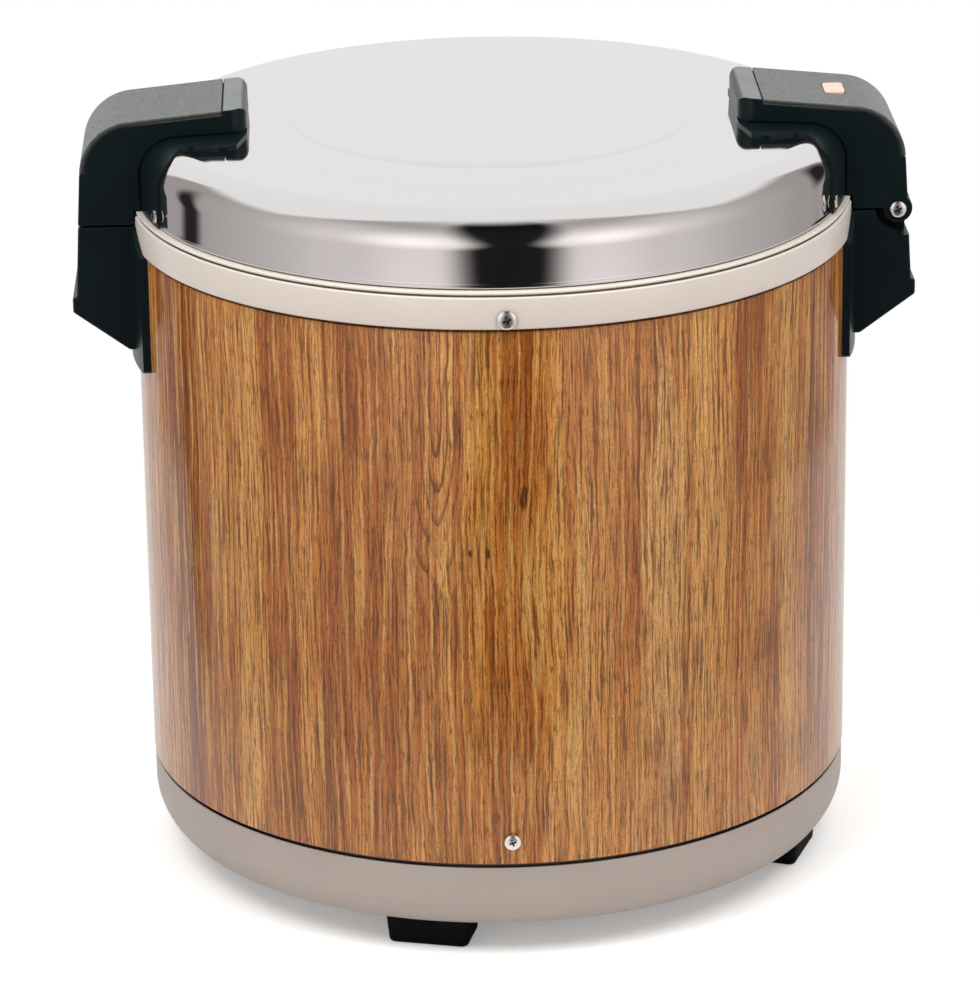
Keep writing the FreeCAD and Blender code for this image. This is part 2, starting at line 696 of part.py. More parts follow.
def lid_inner():
    """Inner pan of the lid, an upturned tray on the lid ring."""
    seat = Z_PAN_SEAT
    ceiling = Z_PAN_TOP
    wide = R_PAN + PAN_FLANGE
    out = R_PAN + PAN_WALL
    return turned([(0, ceiling - PAN_WALL), (R_PAN, ceiling - PAN_WALL), (R_PAN, seat), (wide, seat),
                   (wide, seat + PAN_WALL), (out, seat + PAN_WALL), (out, ceiling), (0, ceiling)])


def lid_heater():
    """Foil heater on the inner pan."""
    return rod(R_PAN - LID_HEATER_IN, Vector(0, 0, Z_PAN_TOP), AXIS_Z, HEATER_T)


def lid_insulation():
    """Glass wool between the lid heater and the dome."""
    low = Z_PAN_TOP + HEATER_T
    high = Z_LID_TOP - LID_WALL - LID_WOOL_GAP
    wide = R_LID - LID_SHOULDER
    return turned([(0, low), (wide, low), (wide, high), (0, high)])


def arm_slope():
    """Fall of the arm's top towards the outside, in radians."""
    return math.atan2(Z_TIP - Z_ARM, R_LID - X_TIP - TIP_CHAMFER)


def post_lean():
    """Lean of the post's outer face, in radians."""
    return math.atan2(POST_LEAN, Z_ARM - Z_SPLIT)


def corner_centre():
    """Centre of the handle's rounded outer corner, touching the arm's top line and the post's face."""
    slope = arm_slope()
    lean = post_lean()
    # Arm's top: points (x, z) with x*sin(slope) + z*cos(slope) = reach; post's face likewise.
    reach_top = (X_TIP + TIP_CHAMFER) * math.sin(slope) + Z_TIP * math.cos(slope) - CORNER_R
    reach_side = X_SPLIT * math.cos(lean) + Z_SPLIT * math.sin(lean) - CORNER_R
    spread = math.sin(slope) * math.sin(lean) - math.cos(slope) * math.cos(lean)
    x = (reach_top * math.sin(lean) - reach_side * math.cos(slope)) / spread
    z = (math.sin(slope) * reach_side - math.cos(lean) * reach_top) / spread
    return (x, z)


def rounded_corner(radius):
    """Start, middle and end of an arc about the handle's corner, from the arm's top to the post's face."""
    slope = arm_slope()
    lean = post_lean()
    centre = corner_centre()
    high = (centre[0] + radius * math.sin(slope), centre[1] + radius * math.cos(slope))
    middle = arc_mid(centre, radius, math.degrees(lean), 90 - math.degrees(slope))
    side = (centre[0] + radius * math.cos(lean), centre[1] + radius * math.sin(lean))
    return high, middle, side


def handle_outline():
    """Side view of the whole handle, with the cover: tip, arm, rounded corner and post."""
    high, middle, side = rounded_corner(CORNER_R)
    low = Z_SPLIT + SPLIT_GAP / 2
    return [(X_TIP, low), (X_TIP, Z_TIP - TIP_CHAMFER), (X_TIP + TIP_CHAMFER, Z_TIP), high, (middle, side),
            (X_SPLIT, low)]


def cover_cutter():
    """Region of the handle that its cover takes: a strip along the arm's top and the post's face."""
    high, middle, side = rounded_corner(CORNER_R - COVER_T)
    seam_x = X_TIP + COVER_SEAM
    seam = (seam_x, high[1] + (high[0] - seam_x) * math.tan(arm_slope()))
    low_z = Z_SPLIT + COVER_DROP
    low = (side[0] + (side[1] - low_z) * math.tan(post_lean()), low_z)
    past_x = X_SPLIT + CORNER_R
    past_z = Z_TIP + CORNER_R
    return slab([seam, high, (middle, side), low, (past_x, low_z), (past_x, past_z), (seam_x, past_z)],
                HANDLE_W * 2)


def handle_block():
    """Arm and post of a handle with the tip's corners rounded in plan, before it is fitted to the lid."""
    body = slab(handle_outline(), HANDLE_W)
    tip_edges = [edge for edge in body.Edges
                 if edge.BoundBox.XMax < X_TIP + TIP_CHAMFER / 2 and edge.BoundBox.YLength < HANDLE_W / 2
                 and edge.BoundBox.ZLength > TIP_CHAMFER]
    return body.makeFillet(TIP_ROUND, tip_edges)


def saddle_flange():
    """Thin saddle that hugs the lid under the handle and spreads beyond it."""
    tip = FLANGE_TIP_W / 2
    neck = FLANGE_NECK_W / 2
    side = FLANGE_SIDE_W / 2
    half = [(X_TIP, HANDLE_W / 2), (X_TIP + FLANGE_TIP_IN, tip), (X_TIP + FLANGE_TIP_OUT, tip),
            (X_TIP + FLANGE_NECK_AT, neck), (X_TIP + FLANGE_SIDE_AT, side), (R_BAND, side)]
    corners = [Vector(x, y, Z_LID) for x, y in half] + [Vector(x, -y, Z_LID) for x, y in reversed(half)]
    column = Part.Face(Part.makePolygon(corners + corners[:1])).extrude(Vector(0, 0, Z_TIP - Z_LID))
    bends = [edge for edge in column.Edges
             if edge.BoundBox.ZLength > FLANGE_T
             and X_TIP + FLANGE_T < edge.BoundBox.XMin < R_BAND - FLANGE_T]
    column = column.makeFillet(FLANGE_ROUND, bends)
    return lid_solid(FLANGE_T).cut(lid_solid(0)).common(column)


def hinge_slot():
    """Room in the right handle for the bracket's knuckle, also when the lid stands open."""
    width = KNUCKLE_W + 2 * KNUCKLE_GAP
    radius = KNUCKLE_R + KNUCKLE_CLEAR
    start = Vector(X_PIN, -width / 2, Z_PIN)
    room = rod(radius, start, AXIS_Y, width)
    open_side = block((X_PIN, X_SPLIT + CORNER_R), (-width / 2, width / 2),
                      (Z_PIN - radius, Z_PIN + radius))
    turned_side = open_side.copy()
    turned_side.rotate(Vector(X_PIN, 0, Z_PIN), AXIS_Y, 90 - OPEN_DEG)
    return room.fuse(open_side).fuse(turned_side)


def handle(with_hinge):
    """Lid handle on the right side: arm, post and saddle flange, without its cover."""
    body = handle_block().cut(cover_cutter())
    if with_hinge:
        boss = rod(BOSS_R, Vector(X_PIN, -HANDLE_W / 2, Z_PIN), AXIS_Y, HANDLE_W)
        body = body.fuse(boss)
    body = body.cut(lid_solid(0)).fuse(saddle_flange())
    over_band = rod(R_BAND + BAND_CLEAR, Vector(0, 0, 0), AXIS_Z, Z_POT_SEAT)
    under_lid = rod(R_LID_IN, Vector(0, 0, 0), AXIS_Z, Z_LID)
    body = body.cut(over_band).cut(under_lid)
    for angle in flange_angles():
        body = body.cut(radial_hole(angle, SCREW_R, Z_FLANGE_SCREW))
    if with_hinge:
        body = body.cut(hinge_slot())
        body = body.cut(rod(PIN_R + PIN_CLEAR, Vector(X_PIN, -HANDLE_W, Z_PIN), AXIS_Y, 2 * HANDLE_W))
        body = body.cut(lamp_pocket())
    return body.removeSplitter().Solids[0]


def handle_cover():
    """Cover plate along the arm's top and down the post's outer face."""
    return handle_block().common(cover_cutter()).Solids[0]


def arm_top(x):
    """Height of the arm's top at a distance from the axis."""
    return Z_TIP - (x - X_TIP - TIP_CHAMFER) * math.tan(arm_slope())


def lamp_pocket():
    """Hollow under the right cover for the lamp."""
    floor = lens_underside() - 2 * LAMP_R
    return block((X_LENS - POCKET_L / 2, X_LENS + POCKET_L / 2), (-POCKET_W / 2, POCKET_W / 2),
                 (floor, arm_top(X_LENS)))


def lens_underside():
    """Height of the underside of the lens and its collar."""
    return arm_top(X_LENS) - COVER_T - LENS_BELOW - LENS_COLLAR


def lens_block(grow):
    """Rounded block of the pilot lens, wider all round by grow."""
    top = arm_top(X_LENS)
    half_l = LENS_L / 2 + grow
    half_w = LENS_W / 2 + grow
    low = lens_underside()
    body = block((X_LENS - half_l, X_LENS + half_l), (-half_w, half_w), (low, top + LENS_PROUD))
    uprights = [edge for edge in body.Edges if edge.BoundBox.ZLength > COVER_T]
    return body.makeFillet(LENS_ROUND + grow, uprights)


def pilot_lens():
    """Pilot lamp lens in the right cover, with a collar under the cover."""
    low = lens_underside()
    half_l = LENS_L / 2 + LENS_COLLAR
    half_w = LENS_W / 2 + LENS_COLLAR
    collar = block((X_LENS - half_l, X_LENS + half_l), (-half_w, half_w), (low, low + LENS_COLLAR))
    return fuse([lens_block(0), collar])


def pilot_lamp():
    """Small glow lamp lying under the lens."""
    middle = Vector(X_LENS, -LAMP_L / 2, lens_underside() - LAMP_R)
    return rod(LAMP_R, middle, AXIS_Y, LAMP_L)


def flange_angles():
    """Plan angles of the two flange screws, from the handle's middle."""
    reach = math.degrees(math.asin(FLANGE_SCREW_W / 2 / (R_LID + FLANGE_T)))
    return (-reach, reach)


def flange_holes():
    """Cutting bars for the flange screws of both handles."""
    holes = []
    for angle in flange_angles():
        for side in (angle, 180 - angle):
            holes.append(radial_hole(side, SCREW_R, Z_FLANGE_SCREW))
    return holes


def handle_screws():
    """Screws that hold the saddle flanges to the lid's side."""
    screw = cross_screw(FLANGE_SCREW_HEAD_R, FLANGE_SCREW_HEAD_H, SCREW_R, SCREW_L)
    screws = []
    for angle in flange_angles():
        for side in (angle, 180 - angle):
            screws.append(set_radially(screw, side, R_LID + FLANGE_T, Z_FLANGE_SCREW))
    return screws


def bracket_block():
    """Bracket on the right side of the body: block, lip and plate, fitted over shell and band."""
    top = Z_SPLIT - SPLIT_GAP / 2
    lip_z = Z_BAND - BRACKET_LIP_DROP
    face_x = X_SPLIT + BRACKET_FLARE
    plate_r = BODY_R + BRACKET_T
    inside = BODY_R / 2
    body = slab([
        (inside, top), (X_SPLIT, top), (face_x, lip_z + BRACKET_LIP_H),
        (face_x + BRACKET_LIP, lip_z + BRACKET_LIP_H), (face_x + BRACKET_LIP, lip_z),
        (plate_r, Z_BAND - BRACKET_TOE), (inside, Z_BAND - BRACKET_TOE)], HANDLE_W)
    half_top = HANDLE_W / 2
    half = BRACKET_W / 2
    low = Z_BAND - BRACKET_DROP
    outline = [Vector(0, -half, low), Vector(0, half, low), Vector(0, half, Z_BAND),
               Vector(0, half_top, top), Vector(0, -half_top, top), Vector(0, -half, Z_BAND),
               Vector(0, -half, low)]
    spread = Part.Face(Part.makePolygon(outline)).extrude(Vector(R_BAND + BRACKET_T, 0, 0))
    drum = rod(plate_r, Vector(0, 0, low), AXIS_Z, top - low)
    body = body.fuse(spread.common(drum))
    body = body.cut(rod(BODY_R, Vector(0, 0, 0), AXIS_Z, Z_LID))
    return body.cut(rod(R_BAND, Vector(0, 0, Z_BAND), AXIS_Z, BAND_H))


def bracket_screw_places():
    """Plan angle and height of each screw of the right bracket."""
    reach = math.degrees(math.asin(BRACKET_SCREW_W / 2 / BODY_R))
    height = Z_BAND - BRACKET_SCREW_DROP
    return [(-reach, height), (reach, height)]


def bracket_holes():
    """Cutting bars for the bracket screws, in the shell's thickness and just outside it."""
    holes = []
    for angle, height in bracket_screw_places():
        for side in (angle, 180 - angle):
            start = outward(side) * (BODY_R - SCREW_ROOM)
            holes.append(rod(SCREW_R, Vector(start.x, start.y, height), outward(side), SCREW_ROOM + SCREW_L))
    return holes


def bracket(with_hinge):
    """Right bracket; with the hinge it has a knuckle and room for the handle's boss."""
    body = bracket_block()
    for hole in bracket_holes():
        body = body.cut(hole)
    if with_hinge:
        wide = 2 * HANDLE_W
        room = rod(NOTCH_R, Vector(X_PIN, -HANDLE_W, Z_PIN), AXIS_Y, wide)
        shoulder = block((X_PIN, BIG), (-HANDLE_W, HANDLE_W), (Z_PIN - SHOULDER_DROP, BIG))
        body = body.cut(room).cut(shoulder)
        half = KNUCKLE_W / 2
        knuckle = rod(KNUCKLE_R, Vector(X_PIN, -half, Z_PIN), AXIS_Y, KNUCKLE_W)
        web = block((X_PIN - KNUCKLE_R, X_PIN + PIN_IN), (-half, half),
                    (Z_PIN - SHOULDER_DROP - HEAD_H, Z_PIN))
        body = body.fuse(knuckle).fuse(web)
        body = body.cut(rod(PIN_R, Vector(X_PIN, -HANDLE_W, Z_PIN), AXIS_Y, wide))
    return body.removeSplitter().Solids[0]


def bracket_screws():
    """Screws from inside the shell into both brackets."""
    screw = cross_screw(SHELL_SCREW_HEAD_R, HEAD_H, SCREW_R, SCREW_L)
    screw.rotate(Vector(0, 0, 0), Vector(1, 0, 0), 180)
    screws = []
    for angle, height in bracket_screw_places():
        for side in (angle, 180 - angle):
            screws.append(set_radially(screw, side, R_INSIDE - seat_room(SHELL_SCREW_HEAD_R), height))
    return screws


def seat_room(head_r):
    """How far a flat head stands off the inside of the curved shell."""
    return R_INSIDE - math.sqrt(R_INSIDE ** 2 - head_r ** 2)


def hinge_pin():
    """Shoulder pin through cheeks and knuckle, cross head at the front."""
    length = HANDLE_W + 2 * KNUCKLE_GAP + NUT_T
    pin = cross_screw(PIN_HEAD_R, PIN_HEAD_H, PIN_R, length)
    pin.rotate(Vector(0, 0, 0), Vector(1, 0, 0), 90)
    pin.translate(Vector(X_PIN, -HANDLE_W / 2 - KNUCKLE_GAP, Z_PIN))
    return pin


def pin_nut():
    """Nut on the hinge pin's rear end."""
    nut = hex_nut(PIN_R)
    nut.rotate(Vector(0, 0, 0), Vector(1, 0, 0), -90)
    nut.translate(Vector(X_PIN, HANDLE_W / 2 + KNUCKLE_GAP, Z_PIN))
    return nut


def main():
    """Build every piece and write one file per node."""
    os.makedirs("parts", exist_ok=True)
    save("outer_shell", [outer_shell()])
    save("top_band", [top_band()])
    save("rim_ring", [rim_ring()])
    save("base_ring", [base_ring()])
    save("bottom_plate", [bottom_plate()])
    for name, angle in zip(FOOT_NAMES, FOOT_ANGLES):
        save("foot_" + name, [foot(angle)])
    save("foot_screws", foot_screws())
    save("foot_nuts", foot_nuts())
    save("band_screws", band_screws())
    save("shell_screws", shell_screws())
    save("liner", [liner()])
    save("inner_pot", [inner_pot()])
    save("side_heater", [side_heater()])
    save("bottom_heater", [bottom_heater()])
    save("insulation_side", [insulation_side()])
    save("insulation_bottom", [insulation_bottom()])
    save("heat_shield", [heat_shield()])
    save("thermostat", [thermostat()])
    save("thermal_fuse", [thermal_fuse()])
    save("terminal_block", [terminal_block()])
    save("wires", wires())
    save("cord_gland", [cord_gland()])
    save("lid_outer", [lid_outer()])
    save("lid_ring", [lid_ring()])
    save("lid_gasket", [lid_gasket()])
    save("lid_inner", [lid_inner()])
    save("lid_heater", [lid_heater()])
    save("lid_insulation", [lid_insulation()])
    save("left_handle", [mirrored(handle(False))])
    save("right_handle", [handle(True)])
    cover = handle_cover()
    save("left_handle_cover", [mirrored(cover)])
    save("right_handle_cover", [cover.cut(lens_block(0))])
    save("pilot_lens", [pilot_lens()])
    save("pilot_lamp", [pilot_lamp()])
    save("handle_screws", handle_screws())
    save("left_bracket", [mirrored(bracket(False))])
    save("right_bracket", [bracket(True)])
    save("bracket_screws", bracket_screws())
    save("hinge_pin", [hinge_pin()])
    save("pin_nut", [pin_nut()])


main()
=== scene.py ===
import json
import logging
import math
from collections.abc import Callable, Iterable, Sequence
from dataclasses import dataclass
from enum import Enum
from functools import partial
from math import radians
from typing import Any

import bmesh
import bpy
from mathutils import Matrix, Vector


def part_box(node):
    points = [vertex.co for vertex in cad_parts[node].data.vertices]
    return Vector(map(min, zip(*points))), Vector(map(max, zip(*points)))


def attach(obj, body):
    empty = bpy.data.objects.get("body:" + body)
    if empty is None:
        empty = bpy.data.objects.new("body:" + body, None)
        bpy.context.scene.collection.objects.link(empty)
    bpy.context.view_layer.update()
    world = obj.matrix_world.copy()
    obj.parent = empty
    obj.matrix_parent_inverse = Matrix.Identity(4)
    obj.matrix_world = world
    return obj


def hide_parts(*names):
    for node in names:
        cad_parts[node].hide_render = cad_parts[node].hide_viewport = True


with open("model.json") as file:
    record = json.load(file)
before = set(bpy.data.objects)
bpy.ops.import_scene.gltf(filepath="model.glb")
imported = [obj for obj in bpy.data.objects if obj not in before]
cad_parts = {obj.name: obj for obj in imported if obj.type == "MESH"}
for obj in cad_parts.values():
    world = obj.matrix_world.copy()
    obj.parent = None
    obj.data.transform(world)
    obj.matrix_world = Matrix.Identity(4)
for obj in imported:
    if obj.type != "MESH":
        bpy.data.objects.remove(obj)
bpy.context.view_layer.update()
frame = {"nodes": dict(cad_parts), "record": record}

# Rice warmer: wood-grain drum, polished hinged lid, black handles and a lift-out pot.
# Metres, +Z up, +X to the hinge side, -Y to the front. Sizes in the classes are millimetres.

LOG = logging.getLogger("rice_warmer")
MM = 0.001
TURN_STEPS = 256        # faces round a large turned piece
SMALL_STEPS = 48        # faces round a small one
WELD = 1e-6             # vertices closer than this are one
TRIM = 0.02             # millimetres that keep cutting faces off the faces they would lie in
SPARE = 20              # millimetres that tools reach past what they cut
SMOOTH_UNDER = radians(35)
SHEET_UV = "sheet"      # arc length and height on the drum, in metres
NOISE = (0.3, 0.7)      # nearly all values of a noise lie between these
CREVICE_SHADE = (0.42, 0.72, 0.01)    # open sky in a crevice and on an open face, and the colour left in the crevice's painted shade
SMOOTHEST = 0.02        # no finish has less roughness
SMOOTH = {"interpolation_type": "SMOOTHSTEP"}     # a MapRange with soft ends

Point = tuple[float, float]
Mesh = bmesh.types.BMesh
Piece = bpy.types.Object
Socket = bpy.types.NodeSocket
Adder = Callable[..., Socket]   # add_node for one tree


class Body(Enum):
    """Bodies that pieces ride on."""

    DRUM = "body"
    POT = "pot"
    LID = "lid"


class Join(Enum):
    """Ways to combine two solids."""

    CUT = "DIFFERENCE"
    SHARED = "INTERSECT"
    BOTH = "UNION"


class Side(Enum):
    """Sides of the drum; the value is the sign of X."""

    LEFT = -1
    RIGHT = 1


def linear(code: str) -> tuple[float, float, float, float]:
    """Turn an sRGB hex colour into linear RGBA."""
    channels = [int(code[at:at + 2], 16) / 255 for at in (1, 3, 5)]
    red, green, blue = [c / 12.92 if c <= 0.04045 else ((c + 0.055) / 1.055) ** 2.4 for c in channels]
    return red, green, blue, 1.0


def add_node(tree: bpy.types.NodeTree, kind: str, inputs: Sequence[Any] | dict[Any, Any] = (),
             out: int | str = 0, **settings: Any) -> Socket | None:
    """Add one shader node.

    Args:
        tree: Node tree the node goes into.
        kind: Node type without the ShaderNode prefix.
        inputs: Constants and other nodes' outputs, in the inputs' order or by input name or number.
        out: Output that is handed on.
        settings: Properties of the node itself.

    Returns:
        An output of the new node, if it has any.
    """
    made = tree.nodes.new("ShaderNode" + kind)
    for name, value in settings.items():
        setattr(made, name, value)
    for key, value in inputs.items() if isinstance(inputs, dict) else enumerate(inputs):
        if isinstance(value, Socket):
            tree.links.new(value, made.inputs[key])
        else:
            made.inputs[key].default_value = value
    return made.outputs[out] if made.outputs else None


def empty_tree(owner: bpy.types.Material | bpy.types.World) -> Adder:
    """Empty the node tree of a material or world and give back add_node for it."""
    owner.use_nodes = True
    owner.node_tree.nodes.clear()
    return partial(add_node, owner.node_tree)


@dataclass(frozen=True)
class Finish:
    """A procedural finish: what it is called and how its surface takes light."""

    name: str
    colour: str
    roughness: float
    metallic: float = 0.0
    spread: float = 0.06        # roughness varies by this much
    grain_mm: float = 0.6       # size of the surface grain
    grain_height_mm: float = 0.01
    cloud_mm: float = 40.0      # size of the slow colour clouds
    cloud: float = 0.04         # how far the clouds darken the colour
    specular: float = 0.5
    coat: float = 0.0
    coat_roughness: float = 0.05
    sheen: float = 0.0          # bloom at a slant, as on a matt moulding
    crevice_shade_mm: float = 0.0        # painted shade darkens crevices narrower than this

    def make(self) -> bpy.types.Material:
        """Make the material: its patterns feed one principled shader."""
        material = bpy.data.materials.new(self.name)
        node = empty_tree(material)
        shader = node("BsdfPrincipled", {
            "Metallic": self.metallic, "Specular IOR Level": self.specular, "Coat Weight": self.coat,
            "Coat Roughness": self.coat_roughness, "Sheen Weight": self.sheen, **self.surface(node)})
        node("OutputMaterial", (shader,))
        return material

    def coordinates(self, node: Adder) -> Socket:
        """Coordinates that the patterns follow: the piece's own place in space."""
        return node("TexCoord", out="Object")

    def tint(self, node: Adder) -> Sequence[float] | Socket:
        """Colour before clouds and painted shade."""
        return linear(self.colour)[:3]

    def surface(self, node: Adder) -> dict[str, Any]:
        """Slow colour clouds, painted shade in crevices, uneven gloss and a fine grain, as inputs of the
        shader.
        """
        place = self.coordinates(node)
        clouds = node("TexNoise", {"Vector": place, "Scale": 1 / (self.cloud_mm * MM), "Detail": 3.0})
        shade = node("MapRange", (clouds, *NOISE, 1 - self.cloud, 1 + self.cloud))
        made = {}
        if self.crevice_shade_mm:
            # Painted shade: ambient occlusion darkens the colour and the specular in crevices.
            open_share = node("AmbientOcclusion", {"Distance": self.crevice_shade_mm * MM}, "AO", samples=8)
            unshaded = node("MapRange", (open_share, *CREVICE_SHADE))
            shade = node("Math", (shade, unshaded), operation="MULTIPLY")
            made["Specular IOR Level"] = node("Math", (unshaded, self.specular), operation="MULTIPLY")
        made["Base Color"] = node("VectorMath", {0: self.tint(node), "Scale": shade}, operation="SCALE")
        grain = node("TexNoise", {"Vector": place, "Scale": 1 / (self.grain_mm * MM), "Detail": 2.0})
        smoothest = max(self.roughness - self.spread, SMOOTHEST)
        made["Roughness"] = node("MapRange", (grain, *NOISE, smoothest, self.roughness + self.spread))
        height = self.grain_height_mm * MM
        made["Normal"] = node("Bump", {"Height": grain, "Strength": 1.0, "Distance": height})
        return made


@dataclass(frozen=True)
class TurnedMetal(Finish):
    """Spun or polished sheet: fine rings round the axis catch the light."""

    def coordinates(self, node: Adder) -> Socket:
        """Distance from the axis and height, so that the grain runs in rings."""
        x, y, z = node("SeparateXYZ", (node("TexCoord", out="Object"),)).node.outputs
        squares = [node("Math", (side, 2.0), operation="POWER") for side in (x, y)]
        radius = node("Math", (node("Math", squares),), operation="SQRT")
        return node("CombineXYZ", {0: radius, 2: z})


@dataclass(frozen=True)
class TopSheenMoulding(Finish):
    """Black moulding whose uppermost faces are painted grey: a painted sheen for the bright room they mirror
    at a slant.
    """

    # Colour of the painted sheen on the tops.
    painted_sheen: str = "#686C68"
    sheen_from_mm: float = 404.0     # the painted sheen begins at this height
    sheen_to_mm: float = 406.0

    def tint(self, node: Adder) -> Socket:
        """Moulding colour, with the painted sheen on top."""
        place = node("TexCoord").node.outputs
        ranges = (("Normal", 0.80, 0.97), ("Object", self.sheen_from_mm * MM, self.sheen_to_mm * MM))
        shares = [node("MapRange", (node("SeparateXYZ", (place[name],), "Z"), low, high))
                  for name, low, high in ranges]
        share = node("Math", shares, operation="MULTIPLY")
        # Painted sheen: grey is mixed in on up-facing faces high on the handle.
        return node("Mix", {0: share, 6: linear(self.colour), 7: linear(self.painted_sheen)}, 2, data_type="RGBA")


@dataclass(frozen=True)
class Figure:
    """A mark in the grain: place and half sizes on the sheet in millimetres, colour and strength."""

    across: float
    height: float
    half_width: float
    half_height: float
    colour: str
    strength: float


@dataclass(frozen=True)
class WoodLaminate(Finish):
    """Printed teak-pattern laminate under a clear gloss film.

    The eye sees fine straight grain in warm browns, one flame figure near the front and a mirror-like film.
    """

    stops: tuple[tuple[float, str], ...] = (
        (0.30, "#80481F"), (0.42, "#A25C25"), (0.50, "#B6712F"), (0.58, "#C58540"), (0.70, "#CF9650"))
    late_wood: str = "#57290B"
    fibre: str = "#653414"
    light: str = "#DBAB62"
    pore: str = "#3C1A07"
    mottle: float = 0.20        # how far the fine mottling darkens and lightens the print
    band_mm: float = 26.0       # width of the broad colour bands
    strip_mm: float = 7.0       # width of the narrow ones
    sway_mm: float = 5.0        # how far the grain wanders
    ripple_mm: float = 0.8      # how far it ripples
    jitter_mm: float = 0.5      # how far the lines tremble
    heart_mm: float = -36.0     # the flame's middle, round the drum from the front
    flame_low_mm: float = 203.0     # the flame's arches lie between these heights
    flame_high_mm: float = 288.0
    flame_depth_mm: float = 16.0
    ring_mm: float = 3.2        # spacing of the growth rings
    ring_stray_mm: float = 5.0  # how far the rings stray from even spacing
    figures: tuple[Figure, ...] = (
        Figure(82.0, 190.0, 14.0, 140.0, "#DCAA66", 0.65), Figure(-52.0, 190.0, 14.0, 140.0, "#9A5422", 0.50),
        Figure(0.0, 300.0, 17.0, 70.0, "#96551F", 0.55), Figure(46.0, 302.0, 16.0, 56.0, "#A85F1E", 0.50),
        Figure(-11.5, 300.0, 3.6, 66.0, "#CC9440", 0.60), Figure(-9.0, 238.0, 3.4, 22.0, "#C8924A", 0.75),
        Figure(-13.0, 216.0, 6.5, 26.0, "#BD8747", 0.60), Figure(11.5, 196.0, 6.0, 52.0, "#C69150", 0.65),
        Figure(9.2, 252.0, 2.2, 7.0, "#3A1A08", 0.85), Figure(-17.6, 222.5, 1.0, 2.4, "#3A1A08", 0.9),
        Figure(-8.1, 222.5, 1.2, 2.8, "#3A1A08", 0.9))

    def streaks(self, node: Adder, place: Socket, size: Point, detail: float, seed: float) -> Socket:
        """Noise drawn out along the grain.

        Args:
            node: Adds a node to the material.
            place: Arc length and height, in metres.
            size: Size across and along the grain, in millimetres.
            detail: Levels of finer noise.
            seed: Shift that makes each layer its own.

        Returns:
            Values around 0.5.
        """
        drawn = node("Mapping", {"Vector": place, "Location": (seed, seed, 0.0),
                                 "Scale": (1 / (size[0] * MM), 1 / (size[1] * MM), 1.0)})
        return node("TexNoise", {"Vector": drawn, "Scale": 1.0, "Detail": detail}, noise_dimensions="2D")

    def grain(self, node: Adder, flat: Socket) -> tuple[Socket, Socket, Socket]:
        """Place across the grain after its sway and tremble, and height.

        Args:
            node: Adds a node to the material.
            flat: Arc length and height on the sheet.

        Returns:
            Distance across the grain, height, and both as one vector.
        """
        across, height, _ = node("SeparateXYZ", (flat,)).node.outputs
        for size, reach, seed in (((55.0, 230.0), self.sway_mm, 3.7), ((9.0, 36.0), self.ripple_mm, 6.6),
                                  ((2.8, 10.0), self.jitter_mm, 9.4)):
            streaks = self.streaks(node, flat, size, 2.0, seed)
            across = node("Math", (across, node("MapRange", (streaks, 0, 1, -reach * MM, reach * MM))))
        return across, height, node("CombineXYZ", (across, height))

    def rings(self, node: Adder, across: Socket, height: Socket, flat: Socket) -> Socket:
        """Growth rings cut at a slant: arches that open upwards about the heart, straight lines further out.

        Args:
            node: Adds a node to the material.
            across: Distance across the grain.
            height: Height on the drum.
            flat: Arc length and height on the sheet.

        Returns:
            Strength of the dark late wood.
        """
        deep, stray = self.flame_depth_mm * MM, self.ring_stray_mm * MM
        depth = node("MapRange", (height, self.flame_low_mm * MM, self.flame_high_mm * MM, deep, 0))
        aside = node("Math", (across, self.heart_mm * MM), operation="SUBTRACT")
        distance = node("VectorMath", (node("CombineXYZ", (aside, depth)),), "Value", operation="LENGTH")
        uneven = node("MapRange", (self.streaks(node, flat, (26.0, 420.0), 2.0, 8.2), 0, 1, -stray, stray))
        count = node("Math", (node("Math", (distance, uneven)), self.ring_mm * MM), operation="DIVIDE")
        cycle = node("Math", (count,), operation="FRACT")
        late = node("MapRange", (cycle, 0.55, 0.97), **SMOOTH)
        strength = node("MapRange", (self.streaks(node, flat, (6.0, 42.0), 3.0, 4.4), 0.38, 0.64, 0, 0.80))
        flame = node("MapRange", (distance, 0.6 * deep, deep, 0.85, 0))
        most = node("Math", (strength, flame), operation="MAXIMUM")
        return node("Math", (late, most), operation="MULTIPLY")

    def marks(self, node: Adder, colour: Socket, across: Socket, height: Socket, ragged: Socket) -> Socket:
        """Tint the sheet with its figures, whose edges are ragged along the grain.

        Args:
            node: Adds a node to the material.
            colour: Colour so far.
            across: Distance across the grain.
            height: Height on the drum.
            ragged: Noise that breaks up the edges.

        Returns:
            Tinted colour.
        """
        for figure in self.figures:
            shares = [node("MapRange", (place, middle * MM, (middle + half) * MM), clamp=False)
                      for place, middle, half in ((across, figure.across, figure.half_width),
                                                  (height, figure.height, figure.half_height))]
            size = node("VectorMath", (node("CombineXYZ", shares),), "Value", operation="LENGTH")
            share = node("MapRange", (node("Math", (size, ragged)), 1.15, 1.65, figure.strength, 0),
                         **SMOOTH)
            colour = node("Mix", {0: share, 6: colour, 7: linear(figure.colour)}, 2, data_type="RGBA")
        return colour

    def surface(self, node: Adder) -> dict[str, Any]:
        """Bands, figures, rings, fibres and pores of the print, as inputs of the shader."""
        flat = node("UVMap", uv_map=SHEET_UV)
        across, height, grain = self.grain(node, flat)
        bands = self.streaks(node, grain, (self.band_mm, 800.0), 1.0, 11.3)
        strips = self.streaks(node, grain, (self.strip_mm, 300.0), 2.5, 5.1)
        colour = node("ValToRGB", (node("Mix", {0: 0.42, 2: bands, 3: strips}, data_type="FLOAT"),))
        elements = colour.node.color_ramp.elements
        while len(elements) < len(self.stops):
            elements.new(0.5)
        for element, (place, code) in zip(elements, self.stops):
            element.position = place
            element.color = linear(code)
        colour = self.marks(node, colour, across, height, self.streaks(node, grain, (2.4, 60.0), 2.0, 7.7))
        layers = [(self.rings(node, across, height, flat), self.late_wood)]
